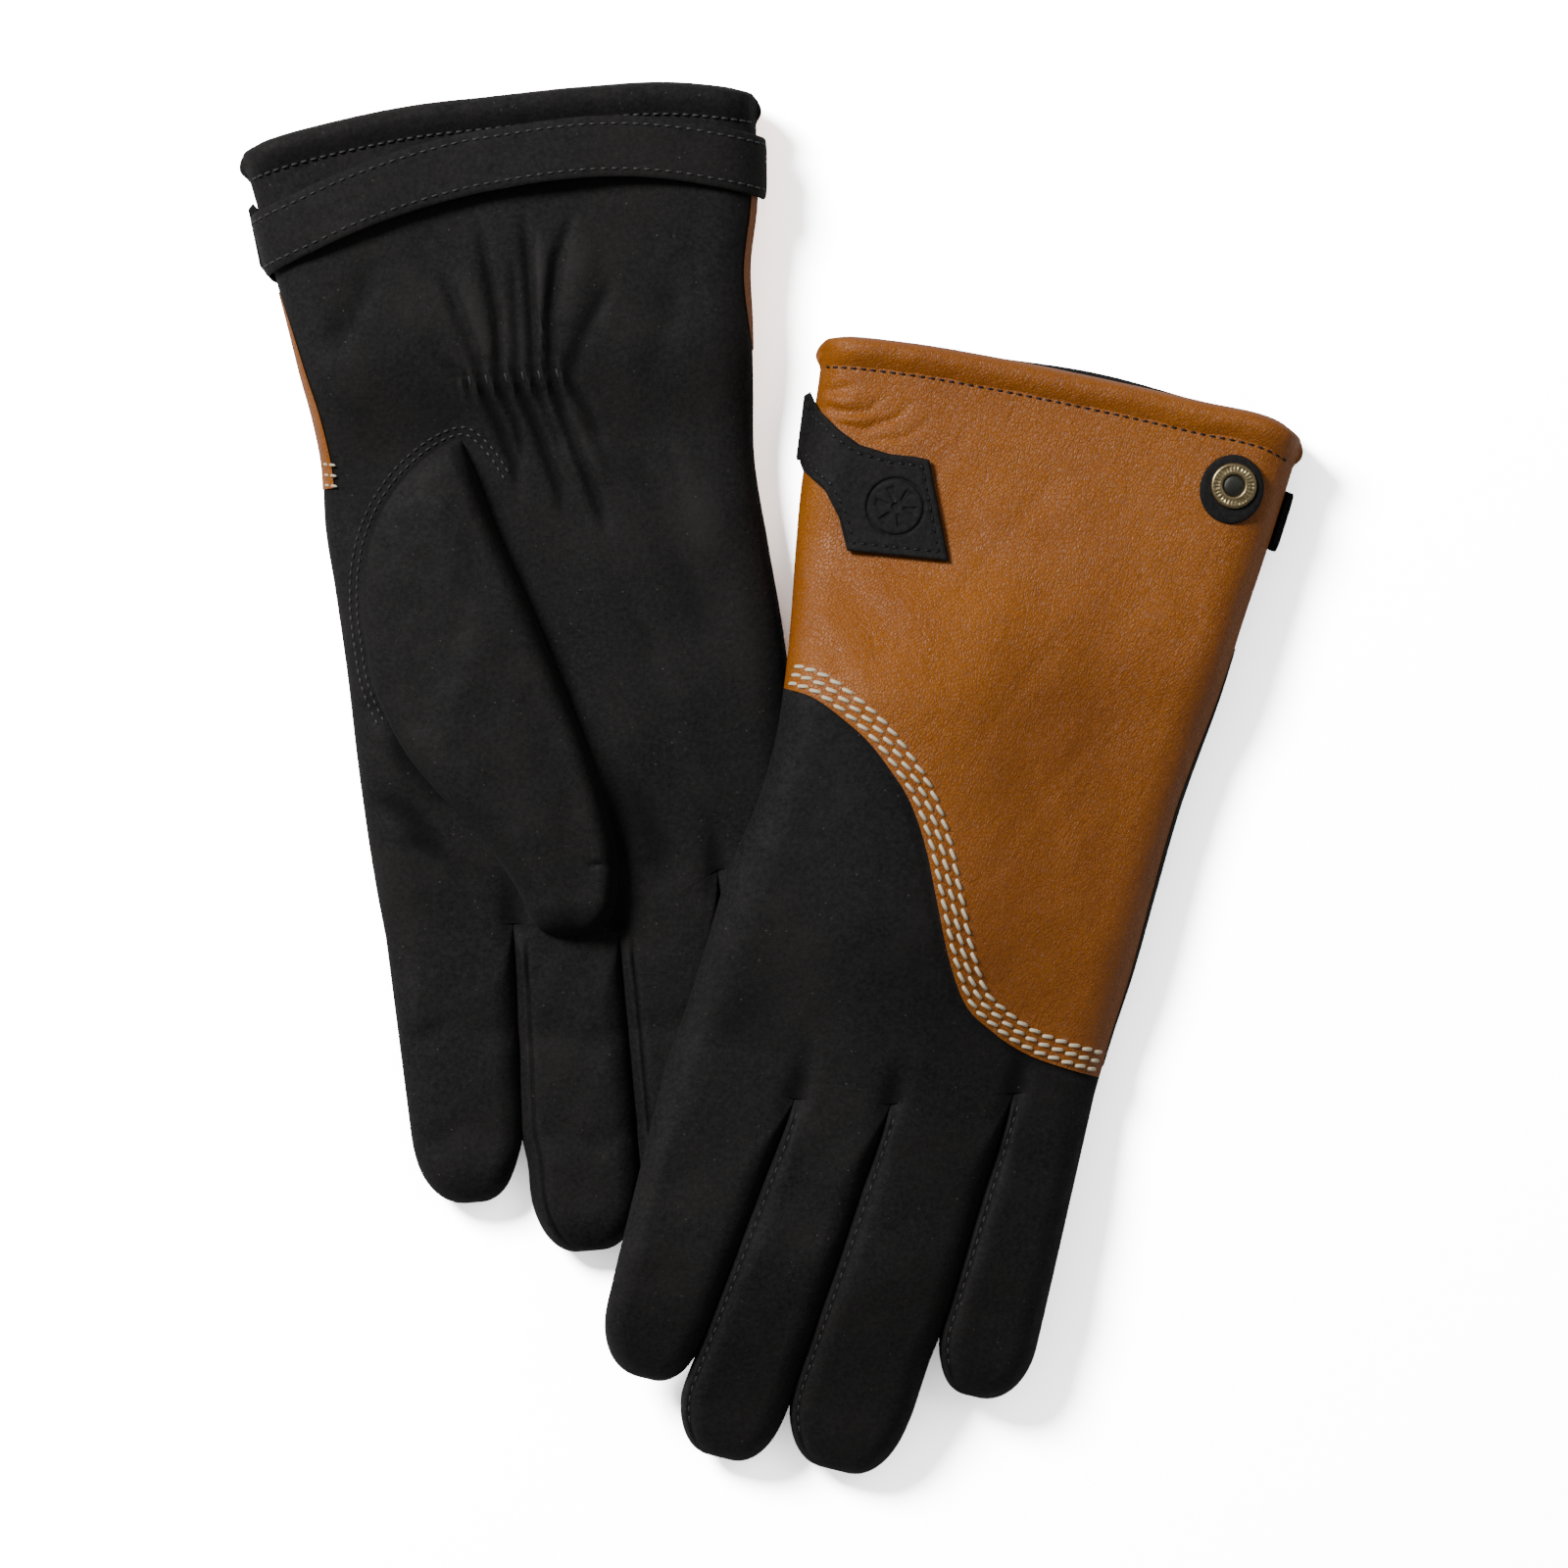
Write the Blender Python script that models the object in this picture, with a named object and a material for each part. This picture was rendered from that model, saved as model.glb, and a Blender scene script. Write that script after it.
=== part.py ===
"""A pair of lined leather driving gloves, lying flat on a table.

The right-hand glove lies palm up with its thumb folded over the palm. The left-hand glove lies
back up, with its thumb folded underneath, and its index side rests on the right-hand glove.

Each glove is drawn in its own frame, in millimetres: u runs across the hand from the thumb side
to the little-finger side as it lies, v runs from the fingers to the cuff, and z is up. An empty
per glove carries that frame to its place on the table, and an empty per moving piece sits on its
hinge line.
"""
import math

import bmesh
import bpy
import numpy as np
from mathutils import Vector

MM = 0.001

# Thicknesses of the flat glove and its layers
HAND_THICK = 15.8
FINGER_THICK = 13.0
TAPER_LENGTH = 45.0
LEATHER = 1.1
LINING = 1.2
SKIN_GAP = 0.4
ELASTIC_ROOM = 2.4
ELASTIC_OFF = 0.95
ELASTIC_THICK = 0.5
HEM_PROUD = 0.4
HEM_DEPTH = 1.6

# Rounding of the long sides: its width, and half the height of the seam between the two skins
SIDE_WIDTH = 10.0
SEAM_HALF = 1.5
FINGER_SIDE_WIDTH = 6.5
FOURCHETTE_HALF = 3.0
FOURCHETTE_ROOM = 4.6
FOURCHETTE_THICK = 1.1

# Cuff, strap and fastening
HEM_WIDTH = 7.5
STRAP_WIDTH = 13.4
STRAP_THICK = 1.6
STRAP_OFF = 0.6
STRAP_FROM_LITTLE_SIDE = [0, 0.6, 2, 4, 7, 11, 20, 32, 45]
STRAP_TO_THUMB_SIDE = [42, 30, 20, 11, 7, 4, 2, 0.6, 0]
STRAP_ROUND_THUMB_SIDE = [0, 0.6, 1.6, 2.6]
STRAP_CREST = (18.0, 161.8)
STRAP_DROP_THUMB = 1 / 351.0
STRAP_DROP_LITTLE = 1 / 217.0
TAB_OFF = 2.0
TAB_OUTLINE = [(-50.0, 149.3), (-46.2, 147.1), (-40.4, 145.9), (-34.6, 146.1), (-27.8, 147.6),
               (-17.1, 125.4), (-40.5, 121.5), (-43.3, 127.1), (-46.7, 132.2), (-50.0, 135.4)]
SOCKET_CENTRE = (-31.5, 134.5)
SOCKET_RADIUS = 4.6
SOCKET_HEIGHT = 1.0
STUD_CENTRE = (42.7, 158.5)
STUD_RADIUS = 5.3
STUD_HEIGHT = 1.6
WASHER_RADIUS = 7.4
WASHER_HOLE = 2.6
WASHER_THICK = 1.0
ROUND_SIDES = 18

# Clearances between neighbours
GAP = 0.35
SEAM_GAP = 0.25
KNUCKLE_GAP = 0.6

# The seam between the back panel and the gauntlet panel: v at u, from thumb side to little finger
SADDLE = [(-60, 88.5), (-47.4, 87.5), (-40.7, 87), (-32.3, 83.7), (-25.5, 80.1), (-18.9, 74.9),
          (-12.7, 68.9), (-6.5, 59.3), (-1.2, 48.3), (4.3, 36.9), (10.5, 27.2), (18.8, 21.8),
          (27.9, 18.6), (36.4, 17.6), (60, 17.2)]

# Wrist elastic, on the palm side: its middle and its half sizes
ELASTIC = (-1.0, 124.0, 30.0, 4.0)

# The grid that all the flat layers share: fractions across the hand, and along it in three
# stretches, from the knuckles to the saddle seam, on to the hem, and across the hem. Between
# the near-side columns there is one at each finger web and one midway between two webs.
NEAR_SIDE = [0, 0.012, 0.035, 0.07, 0.11]
LINING_COLUMNS = slice(3, 12)
HAND_ROWS = [0, 0.25, 0.5, 0.75, 1]
GAUNTLET_ROWS = [1, 1.18, 1.36, 1.54, 1.7, 1.85, 2]
HEM_ROWS = [2, 3]
FINGER_ACROSS = [0, 0.08, 0.27, 0.73, 0.92, 1]
FINGER_ALONG = [0, 0.3, 0.6, 0.82, 0.92, 0.975, 1]
FINGER_NAMES = ("index", "middle", "ring", "little")
FINGER_INSET = 0.35
FINGER_LINING_INSET = 3.2
FINGER_LINING_DEPTH = 2.3

# Each finger: its round end's centre (u, v) and radius
LEFT_TIPS = [(-40.7, -64.5, 12.0), (-17.8, -78.3, 11.8), (9.4, -73.3, 13.6), (35.8, -51.0, 11.0)]
RIGHT_TIPS = [(-27.9, -68.5, 12.4), (-1.0, -81.5, 13.0), (24.2, -79.0, 11.5), (46.9, -62.0, 10.6)]

LEFT = dict(
    name="left", place=(27.7, -75.1), tilt=14.0, palm_up=False,
    thumb_edge=[(-20, -52.6), (-4.4, -52.9), (9, -51.6), (26, -50.5), (45, -49.5), (58, -47.3),
                (74, -46.4), (88, -47.5), (102, -49.5), (120, -52.7), (134, -54.9), (156, -56.6),
                (172, -58.5)],
    little_edge=[(0, 46), (13, 46), (27, 46.6), (41, 47.7), (63, 48.4), (81, 49), (112, 52),
                 (127, 52.8), (145, 54.2), (176, 56)],
    cuff=[(-60, 169.3), (-38, 172.8), (-17, 174.4), (5, 175.4), (31, 176), (49, 176), (56, 174)],
    webs=[(-52.9, -4.4), (-21.9, -4.2), (0, 0), (27.3, 9.2), (46, 13)], tips=LEFT_TIPS)

RIGHT = dict(
    name="right", place=(-49.6, -16.0), tilt=-5.0, palm_up=True,
    thumb_edge=[(-30, -42), (-16.5, -42.5), (-7.5, -43.4), (22, -45.2), (45, -45.9), (65, -47),
                (79, -48), (95, -47.6), (105, -48.7), (115, -50.5), (127, -52.4), (136, -53.9),
                (155, -57.1), (172, -60.6)],
    little_edge=[(-20, 57), (-8, 57), (20, 57.4), (47, 56.5), (66, 54.9), (89, 53.4),
                 (101.6, 54.4), (119, 55.6), (131.5, 56.2), (145, 58.9), (172, 61)],
    cuff=[(-60.5, 168.5), (-37.3, 173.2), (-17.7, 175.4), (-1.8, 175.8), (20.2, 176.2),
          (40.5, 175.6), (58, 172.9), (61, 171)],
    webs=[(-42.4, -16.5), (-12.3, -16.5), (12, -20.7), (36.4, -8.1), (57, -8)], tips=RIGHT_TIPS)

# The right thumb, folded over the palm: (v, u) along its outline. The gusset stays with the
# palm, and the thumb turns on the fold line between them.
THUMB_FOLD = [(95.0, -16.5), (25.3, -34.0)]
THUMB_FREE_EDGE = [(25.3, -34), (16.7, -27.9), (4.3, -18.3), (-3.2, -13.7), (-10.6, -8.6),
                   (-17, -6.5), (-20.5, -2.5)]
THUMB_INNER_EDGE = [(95, -14.5), (78.8, -9.1), (56, -1.4), (37, 4.4), (10.1, 11.5), (-7.2, 13.2),
                    (-15, 12), (-20.5, 8)]
GUSSET_EDGE = [(92, -24.5), (84.6, -32.4), (77.6, -36.6), (70.3, -39.1), (59.4, -40.5),
               (52, -40.5), (40.9, -39.5), (34.1, -37.4), (28, -34.6)]
THUMB_ROWS = [94, 85, 72, 58, 42, 26, 12, -2, -11, -17, -20]
GUSSET_ROWS = [91, 84, 74, 64, 52, 40, 29]
THUMB_EDGE_HEIGHT = 1.6
THUMB_CROWN = 8.6
THUMB_SIDE_WIDTH = 8.0
THUMB_CLEAR = 0.8

# The left thumb, flat under the palm: its centre line from base to tip, half width, clearance
TUCKED_THUMB = [(-21.0, 86.0), (-7.0, 14.0)]
TUCKED_HALF = 9.5
TUCKED_HEIGHT = 10.5

# How far the gloves are raised by what lies under them: strap, tab and stud under a cuff, and
# the right-hand glove under the left-hand one. Each stretch is (raised nowhere, raised fully).
STRAP_LIFT = 2.4
STRAP_RAMP = (96.0, 118.0)
TAB_LIFT = 4.0
TAB_RAMP = (92.0, 118.0)
OVERLAP_LIFT = 16.7
OVERLAP_CUFF_RAMP = (58.0, 16.0)
OVERLAP_SIDE_RAMP = (92.0, 18.0)
OVERLAP_TIP_RAMP = (-165.0, -108.0)

NUBUCK = ("nubuck", (0.018, 0.016, 0.016, 1), 0.9, 0.0)
TAN = ("tan_leather", (0.42, 0.15, 0.03, 1), 0.42, 0.0)
FLEECE = ("fleece", (0.02, 0.02, 0.022, 1), 1.0, 0.0)
WEBBING = ("elastic_webbing", (0.03, 0.03, 0.03, 1), 0.8, 0.0)
BRASS = ("antique_brass", (0.42, 0.34, 0.2, 1), 0.35, 1.0)


def ramp(x, low, high):
    """Smooth step from 0 at low to 1 at high."""
    t = np.clip((x - low) / (high - low), 0, 1)
    return t * t * (3 - 2 * t)


def dome(edge, width):
    """A quarter ellipse: 0 on the edge, 1 at the given distance inside it."""
    x = 1 - np.clip(edge / width, 0, 1)
    return np.sqrt(1 - x * x)


def along(points, x):
    """Read a drawn edge, given as (place, value) in any order."""
    points = sorted(points)
    return np.interp(x, [p[0] for p in points], [p[1] for p in points])


def material(spec):
    """The shared material of a kind of stuff, made the first time it is asked for."""
    name, colour, roughness, metallic = spec
    found = bpy.data.materials.get(name)
    if found:
        return found
    made = bpy.data.materials.new(name)
    made.use_nodes = True
    shader = made.node_tree.nodes["Principled BSDF"]
    shader.inputs["Base Color"].default_value = colour
    shader.inputs["Roughness"].default_value = roughness
    shader.inputs["Metallic"].default_value = metallic
    made.diffuse_color = colour
    return made


def pivot(name, parent, place=(0, 0, 0), turn=0.0):
    """An empty that carries a glove's frame, or a hinge line."""
    empty = bpy.data.objects.new(name, None)
    bpy.context.scene.collection.objects.link(empty)
    empty.parent = parent
    empty.location = Vector(place) * MM
    empty.rotation_euler.z = math.radians(turn)
    empty.empty_display_size = 0.01
    return empty


def body_object(name, verts, faces, spec, parent):
    """One closed piece, from points in its glove's frame and outward faces."""
    base = np.array(parent.location) / MM if parent.parent else np.zeros(3)
    mesh = bpy.data.meshes.new(name)
    mesh.from_pydata([tuple((np.asarray(v) - base) * MM) for v in verts], [], faces)
    shape = bmesh.new()
    shape.from_mesh(mesh)
    bmesh.ops.recalc_face_normals(shape, faces=shape.faces)
    shape.to_mesh(mesh)
    shape.free()
    mesh.materials.append(material(spec))
    piece = bpy.data.objects.new(name, mesh)
    bpy.context.scene.collection.objects.link(piece)
    piece.parent = parent
    return piece


def slab(name, u, v, low, high, spec, parent):
    """A closed layer between two height fields over one grid of places."""
    rows, columns = u.shape
    count = rows * columns
    verts = list(zip(u.ravel(), v.ravel(), high.ravel()))
    verts += list(zip(u.ravel(), v.ravel(), low.ravel()))
    number = np.arange(count).reshape(rows, columns)
    faces = []
    for i in range(rows - 1):
        for j in range(columns - 1):
            a, b = number[i, j], number[i, j + 1]
            c, d = number[i + 1, j + 1], number[i + 1, j]
            faces += [(a, b, c), (a, c, d)]
            faces += [(c + count, b + count, a + count), (d + count, c + count, a + count)]
    rim = list(number[0]) + list(number[1:, -1])
    rim += list(number[-1, -2::-1]) + list(number[-2:0:-1, 0])
    for a, b in zip(rim, rim[1:] + rim[:1]):
        faces += [(a, a + count, b + count), (a, b + count, b)]
    faces = [tuple(int(i) for i in face) for face in faces]
    return body_object(name, verts, faces, spec, parent)


def swept_band(name, sections, spec, parent):
    """A closed band through a row of four-cornered sections."""
    verts = [corner for section in sections for corner in section]
    faces = [(3, 2, 1, 0)]
    for i in range(len(sections) - 1):
        for k in range(4):
            a, b = 4 * i + k, 4 * i + (k + 1) % 4
            faces += [(a, b, b + 4), (a, b + 4, a + 4)]
    last = 4 * (len(sections) - 1)
    faces.append((last, last + 1, last + 2, last + 3))
    return body_object(name, verts, faces, spec, parent)


def turned(name, centre, profile, spec, parent):
    """A round piece from a profile of (radius, z) that starts and ends on the axis or not."""
    verts = []
    for k in range(ROUND_SIDES):
        angle = 2 * math.pi * k / ROUND_SIDES
        for radius, z in profile:
            verts.append((centre[0] + radius * math.cos(angle),
                          centre[1] + radius * math.sin(angle), z))
    count = len(profile)
    faces = []
    for k in range(ROUND_SIDES):
        here, beyond = k * count, (k + 1) % ROUND_SIDES * count
        for i in range(count):
            j = (i + 1) % count
            faces.append((here + i, here + j, beyond + j, beyond + i))
    return body_object(name, verts, faces, spec, parent)


def disc(name, centre, profile, spec, parent):
    """A solid round piece: its profile runs from the top centre to the bottom centre."""
    verts = [(centre[0], centre[1], profile[0][1]), (centre[0], centre[1], profile[-1][1])]
    ring = profile[1:-1]
    for k in range(ROUND_SIDES):
        angle = 2 * math.pi * k / ROUND_SIDES
        for radius, z in ring:
            verts.append((centre[0] + radius * math.cos(angle),
                          centre[1] + radius * math.sin(angle), z))
    count = len(ring)
    faces = []
    for k in range(ROUND_SIDES):
        here, beyond = 2 + k * count, 2 + (k + 1) % ROUND_SIDES * count
        faces.append((0, here, beyond))
        faces.append((1, beyond + count - 1, here + count - 1))
        for i in range(count - 1):
            faces.append((here + i, here + i + 1, beyond + i + 1, beyond + i))
    return body_object(name, verts, faces, spec, parent)


class Glove:
    """One glove's outline, its height fields and its pieces."""

    def __init__(self, spec):
        self.spec = spec
        self.name = spec["name"]
        self.palm_up = spec["palm_up"]
        webs = [(web[0] - spec["webs"][0][0]) / (spec["webs"][-1][0] - spec["webs"][0][0])
                for web in spec["webs"][1:-1]]
        self.columns = NEAR_SIDE + [webs[0], (webs[0] + webs[1]) / 2, webs[1],
                                    (webs[1] + webs[2]) / 2, webs[2]]
        self.columns += [1 - x for x in reversed(NEAR_SIDE)]
        self.frame = pivot(self.name + "_glove_frame", None, spec["place"] + (0,), -spec["tilt"])

    def label(self, piece):
        """The node name of a piece."""
        return self.name + "_" + piece

    def table(self, u, v):
        """Where a point of the glove's frame lies on the table."""
        angle = math.radians(self.spec["tilt"])
        x = self.spec["place"][0] + u * math.cos(angle) + v * math.sin(angle)
        y = self.spec["place"][1] - u * math.sin(angle) + v * math.cos(angle)
        return x, y

    def lift(self, u, v):
        """How far the glove's underside is raised off the table."""
        if self.palm_up:
            return TAB_LIFT * ramp(v, *TAB_RAMP)
        x, y = self.table(u, v)
        over = ramp(y, *OVERLAP_CUFF_RAMP) * ramp(x, *OVERLAP_SIDE_RAMP)
        return OVERLAP_LIFT * over * ramp(y, *OVERLAP_TIP_RAMP) + STRAP_LIFT * ramp(v, *STRAP_RAMP)

    def knuckle(self, u):
        """v of the line through the finger webs."""
        return along(self.spec["webs"], u)

    def thickness(self, u, v):
        """Full height of the flat glove."""
        return FINGER_THICK + (HAND_THICK - FINGER_THICK) * ramp(v - self.knuckle(u), 0, TAPER_LENGTH)

    def sides(self, v):
        """u of the two long sides at v."""
        return along(self.spec["thumb_edge"], v), along(self.spec["little_edge"], v)

    def skin(self, u, v, depth, upper):
        """z of a layer that lies at a depth inside the upper or the lower skin."""
        left, right = self.sides(v)
        half = self.thickness(u, v) / 2
        bulge = SEAM_HALF + (half - SEAM_HALF) * dome(np.minimum(u - left, right - u), SIDE_WIDTH)
        sign = 1 if upper else -1
        return self.lift(u, v) + half + sign * (bulge - depth)

    def grid(self, rows, columns, start=0.0, end=0.0):
        """Places (u, v) of a layer's grid; start and end pull its two ends in."""
        u = np.zeros((len(rows), len(columns)))
        v = np.zeros_like(u)
        t = np.array(rows, float)[:, None] + 0 * u
        pull = np.zeros_like(u)
        pull[0], pull[-1] = start, -end
        v = 60 + 50 * (t - 1)
        for _ in range(12):
            left, right = self.sides(v)
            u = left + np.array(columns)[None, :] * (right - left)
            low, seam = self.knuckle(u), along(SADDLE, u)
            cuff = along([(p[0], p[1]) for p in self.spec["cuff"]], u)
            v = np.where(t <= 1, low + t * (seam - low), np.where(
                t <= 2, seam + (t - 1) * (cuff - HEM_WIDTH - seam),
                cuff - HEM_WIDTH + (t - 2) * HEM_WIDTH)) + pull
        return u, v

    def layer(self, piece, grid, depth, thick, upper, spec):
        """A layer of leather or lining between two depths under a skin."""
        u, v = grid
        outer = self.skin(u, v, depth, upper)
        inner = self.skin(u, v, depth + thick, upper)
        low, high = (inner, outer) if upper else (outer, inner)
        slab(self.label(piece), u, v, low, high, spec, self.frame)

    def panels(self):
        """Back, gauntlet and palm leather, the two hems and the two linings."""
        back_up = not self.palm_up
        seam = SEAM_GAP
        self.layer("back_panel", self.grid(HAND_ROWS, self.columns, 0, seam), 0, LEATHER, back_up,
                   NUBUCK)
        self.layer("gauntlet_panel", self.grid(GAUNTLET_ROWS, self.columns, seam, seam), 0, LEATHER,
                   back_up, TAN)
        whole = HAND_ROWS + GAUNTLET_ROWS[1:]
        self.layer("palm_panel", self.grid(whole, self.columns, 0, seam), 0, LEATHER, self.palm_up,
                   NUBUCK)
        hem = self.grid(HEM_ROWS, self.columns, seam, 0)
        self.layer("back_hem", hem, -HEM_PROUD, HEM_DEPTH, back_up, TAN)
        self.layer("palm_hem", hem, -HEM_PROUD, HEM_DEPTH, self.palm_up, NUBUCK)
        inside = self.grid(whole, self.columns[LINING_COLUMNS], 0, seam)
        self.layer("back_lining", inside, LEATHER + SKIN_GAP, LINING, back_up, FLEECE)
        self.layer("palm_lining", inside, LEATHER + ELASTIC_ROOM, LINING, self.palm_up, FLEECE)

    def elastic(self):
        """The webbing between palm leather and lining that gathers the wrist."""
        u0, v0, half_u, half_v = ELASTIC
        u, v = np.meshgrid(np.linspace(u0 - half_u, u0 + half_u, 7), [v0 - half_v, v0 + half_v])
        outer = self.skin(u, v, LEATHER + ELASTIC_OFF, self.palm_up)
        inner = self.skin(u, v, LEATHER + ELASTIC_OFF + ELASTIC_THICK, self.palm_up)
        low, high = (inner, outer) if self.palm_up else (outer, inner)
        slab(self.label("wrist_elastic"), u, v, low, high, WEBBING, self.frame)

    def strap_line(self, u):
        """v of the strap's middle where it crosses the palm side."""
        drop = np.where(u < STRAP_CREST[0], STRAP_DROP_THUMB, STRAP_DROP_LITTLE)
        return STRAP_CREST[1] - drop * (u - STRAP_CREST[0]) ** 2

    def around(self, edge, v, off, upper, thumb_side):
        """A point that stands off the skin at a distance inside a long side."""
        left, right = self.sides(v)
        inward = 1 if thumb_side else -1
        side = left if thumb_side else right
        sign = 1 if upper else -1
        if edge == 0:
            z = self.skin(np.array(side), v, 0, upper)
            return np.array([side - inward * off, v, float(z)])
        u = side + inward * np.array([edge - 0.05, edge, edge + 0.05])
        z = self.skin(u, v, 0, upper)
        slope = (z[2] - z[0]) / (u[2] - u[0])
        normal = np.array([-slope, 1.0]) * sign
        normal /= np.linalg.norm(normal)
        return np.array([u[1] + off * normal[0], v, z[1] + off * normal[1]])

    def strap(self):
        """The doubled band from the little-finger seam, over the palm side, to the tack line."""
        path = [(edge, self.palm_up, False) for edge in STRAP_FROM_LITTLE_SIDE]
        path += [(edge, self.palm_up, True) for edge in STRAP_TO_THUMB_SIDE]
        path += [(edge, not self.palm_up, True) for edge in STRAP_ROUND_THUMB_SIDE]
        sections = []
        for edge, upper, thumb_side in path:
            left, right = self.sides(self.strap_line(0))
            u = left + edge if thumb_side else right - edge
            top = float(self.strap_line(u)) + STRAP_WIDTH / 2
            near, far = STRAP_OFF, STRAP_OFF + STRAP_THICK
            corners = [(top, far), (top - STRAP_WIDTH, far), (top - STRAP_WIDTH, near),
                       (top, near)]
            sections.append([self.around(edge, v, off, upper, thumb_side) for v, off in corners])
        swept_band(self.label("cuff_strap"), sections, NUBUCK, self.frame)

    def fastening(self):
        """The tab with its hidden socket, and the stud on its washer, on the back of the cuff."""
        back_up = not self.palm_up
        out = 1 if back_up else -1
        tack = (-50.0, 142.0)
        hinge_z = float(self.skin(np.array(tack[0]), np.array(tack[1]), -TAB_OFF, back_up))
        place = (tack[0], tack[1], hinge_z)
        holder = pivot(self.label("tab_hinge"), self.frame, place) if back_up else self.frame
        upper_rim = TAB_OUTLINE[:5]
        lower_rim = [TAB_OUTLINE[9], TAB_OUTLINE[8], TAB_OUTLINE[7], TAB_OUTLINE[6],
                     TAB_OUTLINE[5]]
        u = np.array([[p[0] for p in lower_rim], [p[0] for p in upper_rim]])
        v = np.array([[p[1] for p in lower_rim], [p[1] for p in upper_rim]])
        near = self.skin(u, v, -TAB_OFF, back_up)
        far = near + out * STRAP_THICK
        low, high = (near, far) if back_up else (far, near)
        slab(self.label("strap_tab"), u, v, low, high, NUBUCK, holder)
        self.round_piece("snap_socket", SOCKET_CENTRE, GAP, BRASS, holder, [
            (SOCKET_RADIUS, 0), (SOCKET_RADIUS, SOCKET_HEIGHT)])
        self.ring_piece("stud_washer", STUD_CENTRE, GAP, NUBUCK, [
            (WASHER_HOLE, 0), (WASHER_RADIUS, 0), (WASHER_RADIUS, WASHER_THICK),
            (WASHER_HOLE, WASHER_THICK)])
        self.round_piece("snap_stud", STUD_CENTRE, 2 * GAP + WASHER_THICK, BRASS, self.frame, [
            (STUD_RADIUS - 0.3, 0), (STUD_RADIUS, 0.4), (STUD_RADIUS - 0.8, STUD_HEIGHT),
            (2.6, STUD_HEIGHT - 0.2), (2.3, STUD_HEIGHT - 0.7)])

    def clear_height(self, centre, radius, off):
        """z just off the back skin, all over a round footprint."""
        angles = np.linspace(0, 2 * math.pi, ROUND_SIDES)
        u = np.append(centre[0] + radius * np.cos(angles), centre[0])
        v = np.append(centre[1] + radius * np.sin(angles), centre[1])
        z = self.skin(u, v, -off, not self.palm_up)
        return float(z.min() if self.palm_up else z.max())

    def round_piece(self, piece, centre, off, spec, holder, steps):
        """A solid disc on the back skin: steps are (radius, height) away from the skin."""
        back_up = not self.palm_up
        out = 1 if back_up else -1
        base = self.clear_height(centre, WASHER_RADIUS if off > GAP else SOCKET_RADIUS, off)
        rim = [(radius, base + out * height) for radius, height in steps]
        profile = [(0, rim[0][1])] + rim + [(0, rim[-1][1])]
        disc(self.label(piece), centre, profile, spec, holder)

    def ring_piece(self, piece, centre, off, spec, steps):
        """An open ring on the back skin."""
        back_up = not self.palm_up
        out = 1 if back_up else -1
        base = self.clear_height(centre, WASHER_RADIUS, off)
        profile = [(radius, base + out * height) for radius, height in steps]
        turned(self.label(piece), centre, profile, spec, self.frame)

    def finger_grid(self, index, columns, rows, inset):
        """Places (u, v) in a finger, and their distance from its outline."""
        webs, tip = self.spec["webs"], self.spec["tips"][index]
        a, b = np.array(webs[index], float), np.array(webs[index + 1], float)
        centre, radius = np.array(tip[:2]), tip[2]
        reach = -centre[1] + (a[1] + b[1]) / 2
        straight = reach / (reach + radius)
        s = np.array(columns)[None, :]
        t = np.array(rows)[:, None] + 0 * s
        body = np.clip(t / straight, 0, 1)
        beyond = np.clip((t - straight) / (1 - straight), 0, 1) * radius * 0.985
        half = np.sqrt(radius ** 2 - beyond ** 2)
        start = -KNUCKLE_GAP * (1 - body)
        left_u = a[0] + (centre[0] - radius - a[0]) * body + (radius - half)
        right_u = b[0] + (centre[0] + radius - b[0]) * body - (radius - half)
        left_v = a[1] + (centre[1] - a[1]) * body - beyond
        right_v = b[1] + (centre[1] - b[1]) * body - beyond
        slant = (b[1] - a[1]) / (b[0] - a[0]) * (1 - body)
        left_u, right_u = left_u + inset, right_u - inset
        left_v, right_v = left_v + inset * slant, right_v - inset * slant
        u = left_u + s * (right_u - left_u)
        v = left_v + s * (right_v - left_v) + start
        side = np.minimum(s, 1 - s) * (right_u - left_u) + inset
        end = (1.02 - t) / (1 - straight) * radius + 0 * side
        return u, v, np.minimum(side, end), s + 0 * u

    def finger_skin(self, u, v, edge, side, depth, upper, strip):
        """z of a layer in a finger; strip leaves room for the side strip at side 1."""
        seam = SEAM_HALF + (FOURCHETTE_ROOM - SEAM_HALF) * ramp(side, 0.5, 0.9) * strip
        half = FINGER_THICK / 2
        bulge = seam + (half - seam) * dome(edge, FINGER_SIDE_WIDTH)
        return self.lift(u, v) + half + (1 if upper else -1) * (bulge - depth)

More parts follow.
